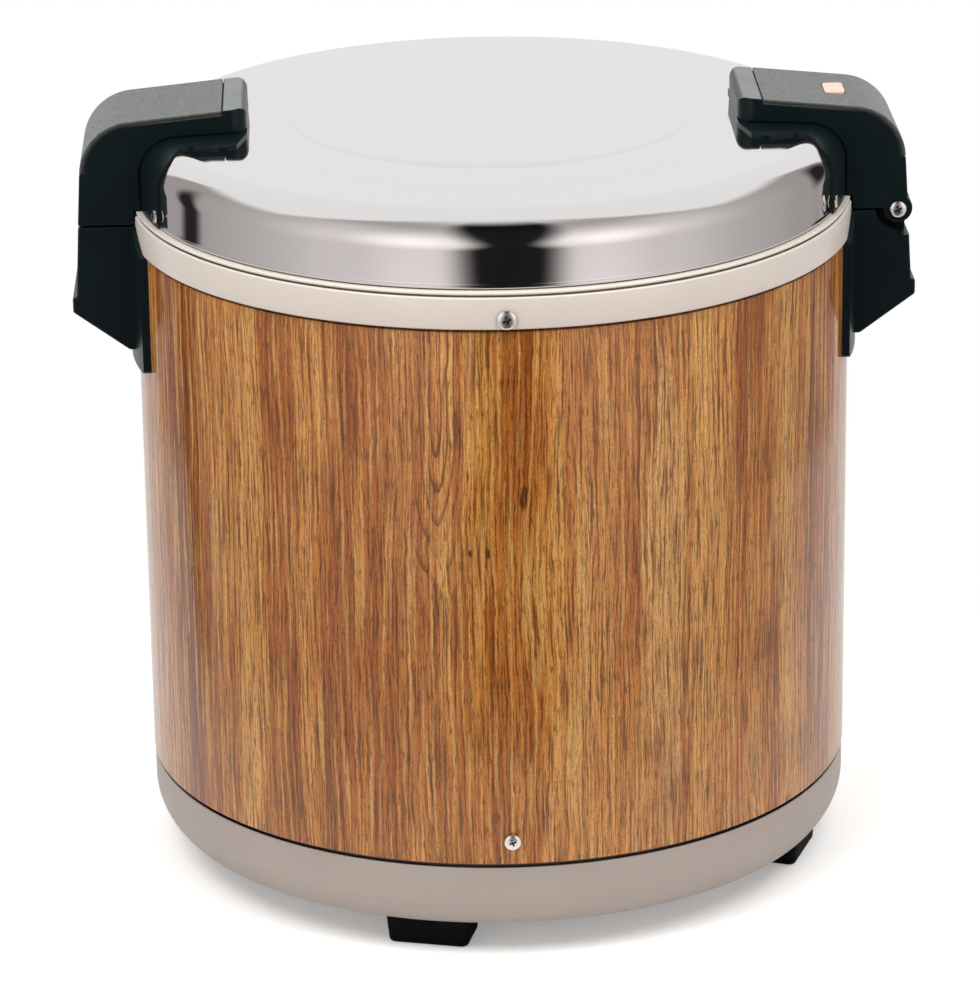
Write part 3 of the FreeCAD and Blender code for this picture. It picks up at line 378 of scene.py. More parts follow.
        # Colour, size across and along, detail, the noise that begins and fills a line, its strength.
        for code, size, detail, low, high, most in (
                (self.fibre, (1.1, 34.0), 3.0, 0.47, 0.66, 0.85),
                (self.light, (2.2, 90.0), 2.0, 0.50, 0.72, 0.60),
                (self.pore, (0.55, 8.0), 1.0, 0.57, 0.72, 0.65)):
            lines = self.streaks(node, grain, size, detail, size[0])
            layers.append((node("MapRange", (lines, low, high, 0, most)), code))
        for layer, code in layers:
            colour = node("Mix", {0: layer, 6: colour, 7: linear(code)}, 2, data_type="RGBA")
        specks = self.streaks(node, flat, (0.5, 1.5), 2.0, 6.3)
        shade = node("MapRange", (specks, *NOISE, 1 - self.mottle, 1 + self.mottle))
        pores = layers[-1][0]
        low, high = self.roughness - self.spread, self.roughness + self.spread
        depth = self.grain_height_mm * MM
        return {
            "Base Color": node("VectorMath", {0: colour, "Scale": shade}, operation="SCALE"),
            "Roughness": node("MapRange", (pores, 0, 1, low, high)),
            "Normal": node("Bump", {"Height": pores, "Strength": 1.0, "Distance": -depth})}


class Finishes:
    """Every finish of the warmer, made once and shared by the pieces."""

    PLAN: dict[str, Finish] = {
        # Laminate: warm brown print, clear film that mirrors the room at a slant.
        "wood_laminate": WoodLaminate(
            "teak-pattern laminate", "#B67A3A", 0.40, spread=0.05, grain_height_mm=0.004, specular=0.15,
            coat=0.70),
        # Enamel: warm pale paint with a faint orange-peel skin.
        "band_enamel": Finish(
            "cream enamel", "#DCD3C9", 0.30, spread=0.03, grain_mm=2.4, grain_height_mm=0.0008, cloud=0.02),
        "rim_steel": Finish(
            "pale enamelled rim", "#DDD6CC", 0.26, spread=0.03, grain_mm=2.4, grain_height_mm=0.0008,
            cloud=0.02),
        # Satin paint: soft grey, edges brighter where the light grazes them; painted shade darkens its
        # crevices.
        "base_enamel": Finish(
            "warm grey satin paint", "#A69C94", 0.42, spread=0.08, grain_mm=0.9, cloud=0.03, metallic=0.15,
            crevice_shade_mm=5.0),
        # Moulded rubber: matte and nearly black, dusty in the grain.
        "foot_rubber": Finish(
            "moulded black rubber", "#020505", 0.66, spread=0.1, grain_mm=0.8, grain_height_mm=0.03,
            cloud=0.15, specular=0.08),
        # Plated steel: bright, slightly yellow-white, tiny scratches; painted shade darkens its recesses.
        "bright_steel": Finish(
            "zinc-plated steel", "#E8E6E0", 0.26, metallic=1.0, grain_mm=0.7, grain_height_mm=0.004,
            cloud_mm=3.0, crevice_shade_mm=1.6),
        # Galvanised sheet: dull grey with large pale spangles.
        "plate_steel": Finish(
            "galvanised sheet", "#A9ABAC", 0.42, metallic=1.0, spread=0.1, grain_mm=6.0, cloud=0.12,
            cloud_mm=18.0),
        # Aluminium: soft silver with drawing and spinning rings.
        "liner_aluminium": TurnedMetal(
            "drawn aluminium", "#C9CBCC", 0.34, metallic=1.0, spread=0.08, grain_mm=1.2,
            grain_height_mm=0.004),
        "pot_aluminium": TurnedMetal(
            "anodised aluminium", "#BFC2C4", 0.30, metallic=1.0, spread=0.08, grain_mm=1.0,
            grain_height_mm=0.004),
        # Stainless sheet: mirror polished it shows the room almost undimmed, satin it only glows.
        "lid_steel": TurnedMetal(
            "mirror-polished stainless steel", "#DFDDDB", 0.055, metallic=1.0, spread=0.02, grain_mm=0.9,
            grain_height_mm=0.0004, cloud=0.01),
        "pan_steel": TurnedMetal(
            "satin stainless steel", "#C6C5C2", 0.28, metallic=1.0, spread=0.07, grain_mm=0.8,
            grain_height_mm=0.003),
        # Silicone: soft grey, slightly waxy.
        "gasket_rubber": Finish(
            "grey silicone rubber", "#8E8B86", 0.5, spread=0.08, grain_mm=1.2, cloud=0.06),
        # Phenolic moulding: blue-black, satin, with a fine moulded grain; painted sheen greys the handle's
        # tops and the cover.
        "handle_plastic": TopSheenMoulding(
            "black phenolic moulding", "#081518", 0.34, spread=0.05, grain_mm=0.7, grain_height_mm=0.008,
            cloud=0.12, cloud_mm=25.0, specular=0.22),
        # Cover: black moulding whose base colour is lightened to grey, a painted sheen for the light from
        # above, beside its real gloss and sheen.
        "cover_plastic": Finish(
            "black moulded cover", "#474A46", 0.46, spread=0.10, grain_mm=1.1, grain_height_mm=0.02,
            cloud=0.30, cloud_mm=3.0, specular=0.7, sheen=0.1),
        # Tinted acrylic: pale pink-orange, glossy.
        "lens_plastic": Finish(
            "tinted acrylic", "#E3B8A6", 0.22, spread=0.05, grain_mm=1.5, cloud=0.10, cloud_mm=4.0),
        # Inside: clear warm glass, flaky brown mica, yellow wool, brown phenolic, white glaze, pale sleeving.
        "lamp_glass": Finish("lamp glass", "#E8C39A", 0.08, spread=0.03, grain_mm=1.0, cloud_mm=3.0),
        "heater_mica": Finish(
            "mica sheet", "#9A8463", 0.5, spread=0.1, grain_mm=3.0, grain_height_mm=0.05, cloud=0.25,
            cloud_mm=12.0),
        "glass_wool": Finish(
            "glass wool", "#D9CC8F", 0.9, spread=0.08, grain_mm=2.0, grain_height_mm=0.6, cloud=0.2,
            cloud_mm=15.0),
        "phenolic_brown": Finish(
            "brown phenolic moulding", "#3A2418", 0.4, spread=0.08, grain_mm=0.8, cloud=0.15),
        "ceramic_white": Finish("glazed ceramic", "#E6E3DC", 0.2, spread=0.05, grain_mm=1.5, cloud=0.03),
        "wire_sleeve": Finish(
            "glass-fibre sleeving", "#C2BDB2", 0.7, spread=0.1, grain_mm=0.8, grain_height_mm=0.08,
            cloud=0.1, cloud_mm=3.0),
    }

    def __init__(self) -> None:
        """Make every material."""
        self.made = {slot: finish.make() for slot, finish in self.PLAN.items()}

    def dress(self) -> None:
        """Give every CAD node the finish of its slot."""
        for row in frame["record"]["subparts"]:
            for place in frame["nodes"][row["node"]].material_slots:
                place.material = self.made[row["material_slot"]]


def box(node: str) -> list[Vector]:
    """Low and high corner of a CAD node, in millimetres."""
    return [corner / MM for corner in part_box(node)]


def arc(centre: Point, radius: float, start: float, end: float, count: int) -> list[Point]:
    """Points along a round stretch, both ends included; angles in degrees."""
    angles = [radians(start + (end - start) * number / count) for number in range(count + 1)]
    return [(centre[0] + radius * math.cos(angle), centre[1] + radius * math.sin(angle)) for angle in angles]


def rounded(corners: Sequence[tuple[float, float, float]], count: int = 5) -> list[Point]:
    """Closed outline with each corner rounded by its own radius.

    Args:
        corners: Two coordinates and a radius for each corner; radius 0 keeps it sharp.
        count: Steps of each rounding.

    Returns:
        Points of the outline.
    """
    made: list[Point] = []
    for number, (first, second, radius) in enumerate(corners):
        here = Vector((first, second))
        if radius <= 0:
            made.append((first, second))
            continue
        back = (Vector(corners[number - 1][:2]) - here).normalized()
        ahead = (Vector(corners[(number + 1) % len(corners)][:2]) - here).normalized()
        half = back.angle(ahead) / 2
        centre = here + (back + ahead).normalized() * (radius / math.sin(half))
        start = here + back * (radius / math.tan(half)) - centre
        end = here + ahead * (radius / math.tan(half)) - centre
        made += [tuple(centre + start.slerp(end, step / count) * radius) for step in range(count + 1)]
    return made


def turned(outline: Sequence[Point], steps: int = TURN_STEPS) -> Mesh:
    """Turn a closed outline in radius and height (millimetres) about Z.

    Args:
        outline: Points of the outline, in order.
        steps: Faces round the whole turn, a multiple of eight.

    Returns:
        Closed mesh: an eighth of a turn, doubled three times.
    """
    bm = bmesh.new()
    verts = [bm.verts.new((radius * MM, 0, height * MM)) for radius, height in outline]
    edges = [bm.edges.new(pair) for pair in zip(verts, verts[1:] + verts[:1])]
    turn = math.tau / 8
    bmesh.ops.spin(bm, geom=verts + edges, cent=(0, 0, 0), axis=(0, 0, 1), angle=turn, steps=steps // 8)
    for _ in range(3):
        copy = bmesh.ops.duplicate(bm, geom=bm.verts[:] + bm.edges[:] + bm.faces[:])
        moved = [item for item in copy["geom"] if isinstance(item, bmesh.types.BMVert)]
        bmesh.ops.rotate(bm, verts=moved, cent=(0, 0, 0), matrix=Matrix.Rotation(turn, 3, "Z"))
        turn *= 2
    bmesh.ops.remove_doubles(bm, verts=bm.verts, dist=WELD)
    bmesh.ops.dissolve_degenerate(bm, edges=bm.edges, dist=WELD)
    bmesh.ops.recalc_face_normals(bm, faces=bm.faces)
    return bm


def extruded(corners: Iterable[Sequence[float]], reach: Sequence[float]) -> Mesh:
    """Flat outline (millimetres) pulled along a vector into a closed solid."""
    bm = bmesh.new()
    face = bm.faces.new([bm.verts.new(Vector(corner) * MM) for corner in corners])
    pulled = bmesh.ops.extrude_face_region(bm, geom=[face])
    moved = [item for item in pulled["geom"] if isinstance(item, bmesh.types.BMVert)]
    bmesh.ops.translate(bm, verts=moved, vec=Vector(reach) * MM)
    bmesh.ops.recalc_face_normals(bm, faces=bm.faces)
    return bm


def slab(outline: Iterable[Point], width: float) -> Mesh:
    """Side view in X and Z made a solid of a width across Y, centred."""
    return extruded([(x, -width / 2, z) for x, z in outline], (0, width, 0))


def soften(bm: Mesh, offset: float, segments: int = 3, sharper_than: float = 30.0) -> None:
    """Round every edge that bends by more than an angle (degrees); offset in millimetres."""
    limit = radians(sharper_than)
    edges = [edge for edge in bm.edges if edge.is_manifold and edge.calc_face_angle() > limit]
    bmesh.ops.bevel(bm, geom=edges, offset=offset * MM, offset_type="OFFSET", segments=segments, profile=0.5,
                    affect="EDGES", clamp_overlap=True, material=-1)


def lay(bm: Mesh, seat: Sequence[float]) -> Mesh:
    """Tip a piece built along +Z over to +Y and move it to its seat, in metres."""
    bmesh.ops.rotate(bm, verts=bm.verts, matrix=Matrix.Rotation(radians(-90), 3, "X"))
    bmesh.ops.translate(bm, verts=bm.verts, vec=seat)
    return bm


def shade(piece: Piece) -> None:
    """Shade smoothly, with edges that bend more than the limit kept sharp."""
    piece.data.shade_smooth()
    piece.data.set_sharp_from_angle(angle=SMOOTH_UNDER)


def make_piece(bm: Mesh, name: str) -> Piece:
    """Turn a bmesh into a smooth-shaded object at the origin."""
    mesh = bpy.data.meshes.new(name)
    bm.to_mesh(mesh)
    bm.free()
    made = bpy.data.objects.new(name, mesh)
    bpy.context.scene.collection.objects.link(made)
    shade(made)
    return made


def combine(piece: Piece, how: Join, *tools: Mesh | Piece) -> Piece:
    """Combine a piece with tool solids and drop the tools.

    Args:
        piece: Object whose mesh is changed.
        how: Cut, keep what is shared, or join.
        tools: Solids used up by the operation.

    Returns:
        The same piece.
    """
    for tool in tools:
        step = piece.modifiers.new("combine", "BOOLEAN")
        step.operation = how.value
        step.solver = "EXACT"
        step.object = make_piece(tool, "tool") if isinstance(tool, Mesh) else tool
        spent = [piece.data, step.object.data]
        graph = bpy.context.evaluated_depsgraph_get()
        piece.data = bpy.data.meshes.new_from_object(piece.evaluated_get(graph))
        piece.modifiers.clear()
        for mesh in spent:
            bpy.data.meshes.remove(mesh)
        piece.data.name = piece.name
    shade(piece)
    return piece


def even_shading(piece: Piece) -> None:
    """Let large flat faces decide the shading of their rounded edges."""
    piece.modifiers.new("even", "WEIGHTED_NORMAL").keep_sharp = True


def finish_side(piece: Piece, side: Side) -> None:
    """Mirror a piece built on the right to its side and even out its shading."""
    bm = bmesh.new()
    bm.from_mesh(piece.data)
    if side is Side.LEFT:
        bmesh.ops.scale(bm, verts=bm.verts, vec=(-1, 1, 1))
        bmesh.ops.reverse_faces(bm, faces=bm.faces)
    bm.to_mesh(piece.data)
    bm.free()
    shade(piece)
    even_shading(piece)


def screw_head(radius: float, height: float) -> Mesh:
    """Pan head along +Z with a cross recess, its underside at the origin; sizes in millimetres."""
    edge = 0.35 * height
    dome = [(radius * math.cos(angle), edge + (height - edge) * math.sin(angle) ** 0.6)
            for angle in [radians(15 * step) for step in range(1, 7)]]
    side = [(0, 0), (radius * 0.84, 0), (radius, edge * 0.8), (radius, edge)]
    head = make_piece(turned(side + dome, SMALL_STEPS), "screw_head")
    for turn in (0, 90):
        arm = bmesh.new()
        bmesh.ops.create_cube(arm, size=1.0)
        bmesh.ops.scale(arm, verts=arm.verts, vec=Vector((radius * 1.1, radius * 0.25, height * 1.7)) * MM)
        bmesh.ops.translate(arm, verts=arm.verts, vec=(0, 0, height * 1.05 * MM))
        low = [vert for vert in arm.verts if vert.co.z < height * MM]
        bmesh.ops.scale(arm, verts=low, vec=(0.62, 0.7, 1.0))
        bmesh.ops.rotate(arm, verts=arm.verts, matrix=Matrix.Rotation(radians(turn), 3, "Z"))
        combine(head, Join.CUT, arm)
    bm = bmesh.new()
    bm.from_mesh(head.data)
    bpy.data.meshes.remove(head.data)
    return bm


def screw_set(name: str, radius: float, height: float, places: Iterable[tuple[Vector, Vector]],
              turn: float = 20.0) -> Piece:
    """Several equal screw heads as one piece.

    Args:
        name: Piece name.
        radius: Head radius, millimetres.
        height: Head height, millimetres.
        places: Seat (metres) and outward direction of each head.
        turn: How far each recess is turned from the one before, degrees.

    Returns:
        The piece.
    """
    bm = bmesh.new()
    for number, (seat, direction) in enumerate(places):
        head = screw_head(radius, height)
        stand = direction.to_track_quat("Z", "Y").to_matrix().to_4x4()
        spin = Matrix.Rotation(radians(turn * (number + 1)), 4, "Z")
        bmesh.ops.transform(head, verts=head.verts, matrix=Matrix.Translation(seat) @ stand @ spin)
        copy = bpy.data.meshes.new("head")
        head.to_mesh(copy)
        head.free()
        bm.from_mesh(copy)
        bpy.data.meshes.remove(copy)
    return make_piece(bm, name)


def around(angle: float) -> Vector:
    """Unit vector in plan at an angle in degrees, 0 along +X."""
    return Vector((math.cos(radians(angle)), math.sin(radians(angle)), 0))


@dataclass
class Assembly:
    """What every sub-assembly shares: the finishes and the body it rides on."""

    finishes: Finishes
    body: Body

    def fit(self, piece: Piece, slot: str, *nodes: str) -> None:
        """Dress a new piece, let it ride and stand for CAD nodes.

        Args:
            piece: New object.
            slot: Material slot of the record.
            nodes: CAD nodes that it stands for.
        """
        piece.data.materials.clear()
        piece.data.materials.append(self.finishes.made[slot])
        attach(piece, self.body.value)
        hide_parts(*nodes)
        LOG.info("%s: %d faces, rides on %s", piece.name, len(piece.data.polygons), self.body.value)

    def fit_turned(self, outline: Sequence[Point], name: str, slot: str, node: str) -> None:
        """Turn an outline into a piece that stands for a CAD node."""
        self.fit(make_piece(turned(outline), name), slot, node)


@dataclass
class Drum(Assembly):
    """Wood-grain drum with its band, rim, base ring, screws and cord gland."""

    sheet: float = 1.2
    shell_wall: float = 0.8
    roll: float = 0.5           # rounding of the sheet's edges
    line: float = 1.5           # height of the dark lines above and below the sheet
    groove: float = 3.5         # depth of the dark lines between the rings
    band_edge: float = 0.9
    rim_edge: float = 0.6
    rim_height: float = 1.4
    rim_in: float = 14.0        # from the liner's edge in to the rim's hole
    base_gap: float = 0.8
    base_tuck: float = 7.5
    base_curve: float = 18.0
    base_edge: float = 0.4
    base_lip: float = 0.9       # thickness of the base's upper edge, in front of a dark channel
    base_flange: float = 42.0
    channel: float = 4.0
    shield_hole: float = 20.0
    shield_hole_at: float = 110.0   # wire hole, towards the back
    shield_edge: float = 0.3
    head: float = 2.2           # height of the screw heads
    bore: float = 4.2           # cord gland: hole, neck and collar
    neck: float = 7.4
    collar: float = 1.6

    def build(self) -> None:
        """Build every piece of the drum."""
        low, high = box("outer_shell")
        self.radius, self.foot, self.top = high.x, low.z, high.z
        self.inside = self.radius - self.shell_wall - self.groove
        self.shell()
        self.rings()
        self.base()
        self.shield()
        self.fixings()

    def shell(self) -> None:
        """Printed sheet rolled into a drum, with arc length and height as its UV map."""
        radius, foot, wall = self.radius, self.foot, self.shell_wall
        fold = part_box("top_band")[0].z / MM - self.line
        neck = radius - self.groove
        bm = turned(rounded([
            (radius, foot, self.roll), (radius, fold, self.roll), (neck, fold, 0), (neck, self.top, 0),
            (neck - wall, self.top, 0), (neck - wall, fold - wall, 0), (radius - wall, fold - wall, 0),
            (radius - wall, foot, 0)], 3))
        layer = bm.loops.layers.uv.new(SHEET_UV)
        for face in bm.faces:
            middle = face.calc_center_median()
            facing = math.atan2(middle.x, -middle.y)
            for loop in face.loops:
                angle = math.atan2(loop.vert.co.x, -loop.vert.co.y)
                angle += math.tau * round((facing - angle) / math.tau)
                loop[layer].uv = (angle * radius * MM, loop.vert.co.z)
        self.fit(make_piece(bm, "wood_shell"), "wood_laminate", "outer_shell")

    def rings(self) -> None:
        """Cream band round the sheet's top, and the rim the lid closes on with its skirt inside the drum."""
        low, high = box("top_band")
        soft = self.band_edge
        self.fit_turned(rounded([(self.radius, low.z, 0), (high.x, low.z, soft), (high.x, high.z, soft),
                                 (self.radius, high.z, 0)]), "cream_band", "band_enamel", "top_band")
        low, high = box("rim_ring")
        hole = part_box("liner")[1].x / MM - self.rim_in
        plate, edge = high.z - self.sheet, high.z - self.rim_height
        skirt, lining = self.inside, self.inside - self.sheet
        self.fit_turned(rounded([
            (hole, plate, 0), (hole, high.z, 0.4), (high.x, high.z, self.rim_edge), (high.x, edge, 0.3),
            (high.x - self.sheet, edge, 0), (high.x - self.sheet, plate, 0), (skirt, plate, 0),
            (skirt, low.z, 0), (lining, low.z, 0), (lining, plate, 0)]), "rim", "rim_steel", "rim_ring")

    def base(self) -> None:
        """Grey ring under the drum, curving in to its flat underside."""
        low, high = box("base_ring")
        inside, sheet = self.inside, self.sheet
        top = self.foot - self.base_gap - self.line
        radius = (self.base_tuck ** 2 + self.base_curve ** 2) / (2 * self.base_tuck)
        centre = (high.x - radius, low.z + self.base_curve)
        curve = arc(centre, radius, -math.degrees(math.asin(self.base_curve / radius)), 0, 16)
        foot = curve[0][0]
        shoulder = rounded([(high.x, top, self.base_edge), (inside, top, 0), (high.x, low.z, 0)])[:6]
        lip, floor = high.x - self.base_lip, top - self.channel
        self.fit_turned([(foot - self.base_flange, low.z)] + curve + shoulder + [
            (lip, top), (lip, floor), (inside, floor), (inside, high.z), (inside - sheet, high.z),
            (inside - sheet, floor - sheet), (high.x - sheet, floor - sheet), (high.x - sheet, centre[1]),
            (foot - sheet, low.z + sheet), (foot - self.base_flange, low.z + sheet)],
            "base_skirt", "base_enamel", "base_ring")

    def shield(self) -> None:
        """Plate under the insulation, inside the base ring, with a middle hole and one for the wires."""
        low, high = box("heat_shield")
        hole, soft = self.shield_hole, self.shield_edge
        reach = self.inside - self.sheet - soft
        plate = make_piece(turned(rounded([(hole, low.z, soft), (reach, low.z, soft), (reach, high.z, soft),
                                           (hole, high.z, soft)], 3)), "heat_plate")
        tool = turned([(0, low.z - 5), (hole, low.z - 5), (hole, high.z + 5), (0, high.z + 5)], SMALL_STEPS)
        bmesh.ops.translate(tool, verts=tool.verts, vec=(0, self.shield_hole_at * MM, 0))
        self.fit(combine(plate, Join.CUT, tool), "plate_steel", "heat_shield")

    def fixings(self) -> None:
        """Bright cross-head screws on band and shell, front and back, and the rubber bush for a cord."""
        for node, name in (("band_screws", "band_screw_heads"), ("shell_screws", "shell_screw_heads")):
            low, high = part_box(node)
            seat = high.y - self.head * MM
            places = [(around(angle) * seat + Vector((0, 0, (low.z + high.z) / 2)), around(angle))
                      for angle in (-90, 90)]
            self.fit(screw_set(name, high.x / MM, self.head, places), "bright_steel", node)
        low, high = box("cord_gland")
        depth = high.y - low.y
        collar = depth - self.collar
        bm = turned(rounded([
            (self.bore, 0, 0.6), (self.neck, 0, 0.8), (self.neck, collar, 0), (high.x, collar, 0.4),
            (high.x, depth, 0.8), (self.bore, depth, 0.8)], 4), SMALL_STEPS)
        lay(bm, Vector((0, low.y, (low.z + high.z) / 2)) * MM)
        self.fit(make_piece(bm, "cord_bush"), "foot_rubber", "cord_gland")


@dataclass
class Pot(Assembly):
    """Lift-out pot."""

    wall: float = 1.2
    flange: float = 12.0
    corner: float = 28.0
    edge: float = 0.57          # rounding of the flange's rim

    def build(self) -> None:
        """Drawn pot with a rolled flange and a rounded bottom corner."""
        low, high = box("inner_pot")
        side, wall = high.x - self.flange, self.wall
        outer = (side - self.corner, low.z + self.corner)
        outline = [(0, low.z)] + arc(outer, self.corner, -90, 0, 12)
        outline += rounded([
            (side, high.z - wall, 0), (high.x, high.z - wall, self.edge), (high.x, high.z, self.edge),
            (side - wall, high.z, 1.0), (side - wall, outer[1], 0)], 4)
        outline += arc(outer, self.corner - wall, 0, -90, 12) + [(0, low.z + wall)]
        self.fit_turned(outline, "rice_pot", "pot_aluminium", "inner_pot")


@dataclass
class Lid(Assembly):
    """Polished dome, its inner pan, ring and gasket."""

    wall: float = 19.1
    shoulder: float = 18.0
    rise: float = 2.3
    fullness: float = 0.6
    step_radius: float = 105.5  # embossed ring
    step_width: float = 2.2
    step_height: float = 1.2
    crown: float = 1.8
    sheet: float = 0.8
    bead: float = 0.5           # the lower edge is rolled out by this
    pan_lip: float = 5.5
    skin_points: int = 39       # points of the outline under the handles' saddles

    def __post_init__(self) -> None:
        """Take the dome's radius and lower edge from the CAD lid."""
        low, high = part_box("lid_outer")
        self.radius = high.x / MM
        self.edge = low.z / MM

    def outline(self, grow: float) -> list[Point]:
        """Upper side from the wall's top to the axis, moved outwards by grow."""
        level = self.edge + self.wall
        centre = (self.radius - self.shoulder, level)
        top = level + self.shoulder + grow
        step_out = self.step_radius + self.step_width / 2
        step_in = self.step_radius - self.step_width / 2
        points = arc(centre, self.shoulder + grow, 0, 90, 28)
        for share in [number / 16 for number in range(1, 17)]:
            lift = (4 * self.fullness - 1) * share + (2 - 4 * self.fullness) * share ** 2
            points.append((centre[0] + (step_out - centre[0]) * share, top + self.rise * lift))
        for share in [number / 8 for number in range(1, 9)]:
            smooth = share * share * (3 - 2 * share)
            points.append((step_out - self.step_width * share, top + self.rise + self.step_height * smooth))
        dome = top + self.rise + self.step_height
        for share in [number / 16 for number in range(1, 17)]:
            points.append((step_in * (1 - share), dome + self.crown * (1 - (1 - share) ** 2)))
        return points

    def skin(self, low: float, high: float) -> Mesh:
        """Closed layer over the lid's wall and shoulder, between two distances from its upper side."""
        count = self.skin_points
        sides = [[(self.radius + grow, self.edge)] + self.outline(grow)[:count] for grow in (low, high)]
        return turned(sides[0] + sides[1][::-1], TURN_STEPS // 2)

    def build(self) -> None:
        """Build dome, ring, gasket and the upturned tray inside."""
        edge, wall = self.edge, self.sheet
        bead = self.radius + self.bead
        rolled = rounded([
            (bead, edge, 0.35), (bead, edge + 1.1, 0.5), (self.radius, edge + 2.0, 0.8),
            (self.radius, edge + 6.0, 0), (self.radius - wall, edge, 0)], 4)[:-2]
        self.fit_turned([(self.radius - wall, edge)] + rolled + self.outline(0) + self.outline(-wall)[::-1],
                        "polished_dome", "lid_steel", "lid_outer")
        for node, name, slot, width, soft in (("lid_ring", "lid_seat_ring", "pan_steel", 10.2, 0.4),
                                              ("lid_gasket", "lid_seal", "gasket_rubber", 6.0, 0.7)):
            low, high = box(node)
            inner = high.x - width
            self.fit_turned(rounded([(inner, low.z, soft), (high.x, low.z, soft), (high.x, high.z, soft),
                                     (inner, high.z, soft)], 4), name, slot, node)
        low, high = box("lid_inner")
        side = high.x - self.pan_lip
        self.fit_turned(rounded([
            (0, high.z - wall, 0), (side, high.z - wall, 2.4), (side, low.z, 0), (high.x, low.z, 0),
            (high.x, low.z + wall, 0), (side + wall, low.z + wall, 0), (side + wall, high.z, 3.2),
            (0, high.z, 0)]), "lid_pan", "pan_steel", "lid_inner")


@dataclass
class Handles(Assembly):
    """Lid handles with their saddles, covers, screws and the pilot lens."""

    lid: Lid
    width: float = 66.0
    tip_chamfer: float = 6.0
    tip_clear: float = 0.2      # keeps the arm's top inside the CAD box
    tip_round: float = 9.0      # corners of the tip in plan
    nose_round: float = 4.5     # edge of the tip in side view
    fall: float = 5.1           # the arm's top drops by this from its tip to above the lid's wall
    lean: float = 3.4           # the post's face leans in by this up to the arm
    corner: float = 28.5
    cover: float = 2.4
    cover_lip: float = 1.3      # the cover's edge is this thick and overhangs a groove
    cover_gap: float = 0.45
    cover_soft: float = 0.45
    overlap: float = 0.3        # of the cover's edge and its body
    line: float = 0.9           # width of the dark joint lines
    line_depth: float = 1.3
    seam: float = 12.5
    cover_drop: float = 28.0
    split_gap: float = 1.0
    soft: float = 1.3
    saddle: float = 1.3
    saddle_tip: float = 56.0    # half widths of the saddle, from its tip to the lid's wall
    saddle_neck: float = 46.5
    saddle_broad: float = 67.0
    screw_side: float = 63.5    # screws from the handle's middle
    screw_radius: float = 3.5
    screw_height: float = 1.4
    lens_corner: float = 2.5
    lens_gap: float = 0.5
    lens_soft: float = 0.6
    band_clear: float = 0.8
    lid_clear: float = 0.2
    boss: float = 7.7
    pin_hole: float = 2.56
    slot_width: float = 36.8
    slot_radius: float = 8.8

    def __post_init__(self) -> None:
        """Take the stations from the CAD handle."""
        low, high = box("left_handle")
        self.tip_x = -high.x
        self.face_x = -low.x
        self.low = low.z
        self.tip_z = high.z - self.tip_clear
        low, high = box("hinge_pin")
        self.pin = ((low.x + high.x) / 2, (low.z + high.z) / 2)
        self.slope = math.atan2(self.fall, self.lid.radius - self.tip_x - self.tip_chamfer)
        self.tilt = math.atan2(self.lean, self.tip_z - self.fall - self.low + self.split_gap / 2)

    def bend(self, inset: float) -> list[Point]:
        """Round stretch from the arm's top to the post's face, inside the handle by inset."""
        sine, cosine = math.sin(self.slope), math.cos(self.slope)
        top = (self.tip_x + self.tip_chamfer) * sine + self.tip_z * cosine - self.corner
        split = self.low - self.split_gap / 2
        face = self.face_x * math.cos(self.tilt) + split * math.sin(self.tilt) - self.corner
        spread = sine * math.sin(self.tilt) - cosine * math.cos(self.tilt)
        centre = ((top * math.sin(self.tilt) - face * cosine) / spread,
                  (sine * face - math.cos(self.tilt) * top) / spread)
        return arc(centre, self.corner - inset, 90 - math.degrees(self.slope), math.degrees(self.tilt), 20)

    def top_at(self, x: float, inset: float = 0.0) -> float:
        """Height of the arm's top at a distance from the axis."""
        fall = (x - self.tip_x - self.tip_chamfer) * math.tan(self.slope)
        return self.tip_z - fall - inset / math.cos(self.slope)

    def face_at(self, z: float, inset: float = 0.0) -> float:
        """X of the post's outer face at a height."""
        return self.face_x - (z - self.low) * math.tan(self.tilt) - inset / math.cos(self.tilt)

    def build(self) -> None:
        """Build both handles."""
        for side in Side:
            name = side.name.lower()
            self.arm(side, name)
            self.saddle_piece(side, name)
            self.cover_piece(side, name)
        self.screws()
        self.lens()

    def column(self, plan: Iterable[Point]) -> Mesh:
        """Plan made a tool taller than the handle."""
        return extruded([(x, y, self.low - SPARE) for x, y in plan], (0, 0, 2 * self.tip_z))

    def arm(self, side: Side, name: str) -> None:
        """Arm and post, hollowed where the cover lies on it and clear of lid, rim and band."""
        seam_x = self.tip_x + self.seam
        end_z = self.low - self.split_gap / 2 + self.cover_drop
        outline = rounded([
            (self.tip_x, self.low, 0), (self.tip_x, self.top_at(self.tip_x), self.nose_round),
            (seam_x, self.top_at(seam_x), 0), (seam_x, self.top_at(seam_x, self.cover), 0)], 10)
        outline += self.bend(self.cover)
        outline += [(self.face_at(end_z, self.cover), end_z), (self.face_at(end_z), end_z)]
        outline.append((self.face_x, self.low))
        bm = slab(outline, self.width)
        soften(bm, self.soft)
        piece = make_piece(bm, name + "_arm")
        near, far, half = self.tip_x + TRIM, 2 * self.face_x, self.width / 2 - TRIM
        plan = [(near, -half, self.tip_round), (far, -half, 0), (far, half, 0), (near, half, self.tip_round)]
        combine(piece, Join.SHARED, self.column(rounded(plan, 10)))
        if side is Side.RIGHT:
            self.hinge(piece)
        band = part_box("top_band")[1].x / MM + self.band_clear
        seat = self.lid.edge - self.lid_clear
        room = [(0, self.low - SPARE), (band, self.low - SPARE), (band, seat), (self.lid.radius, seat)]
        combine(piece, Join.CUT, turned(room + self.lid.outline(0)))
        # A thin groove where the arm stands on its saddle.
        groove = make_piece(self.lid.skin(self.saddle, self.saddle + self.line), "groove")
        near, half = self.tip_x + self.line_depth, self.width / 2 - self.line_depth
        combine(groove, Join.CUT, self.column([(near, -half), (far, -half), (far, half), (near, half)]))
        combine(piece, Join.CUT, groove)
        finish_side(piece, side)
        self.fit(piece, "handle_plastic", name + "_handle")

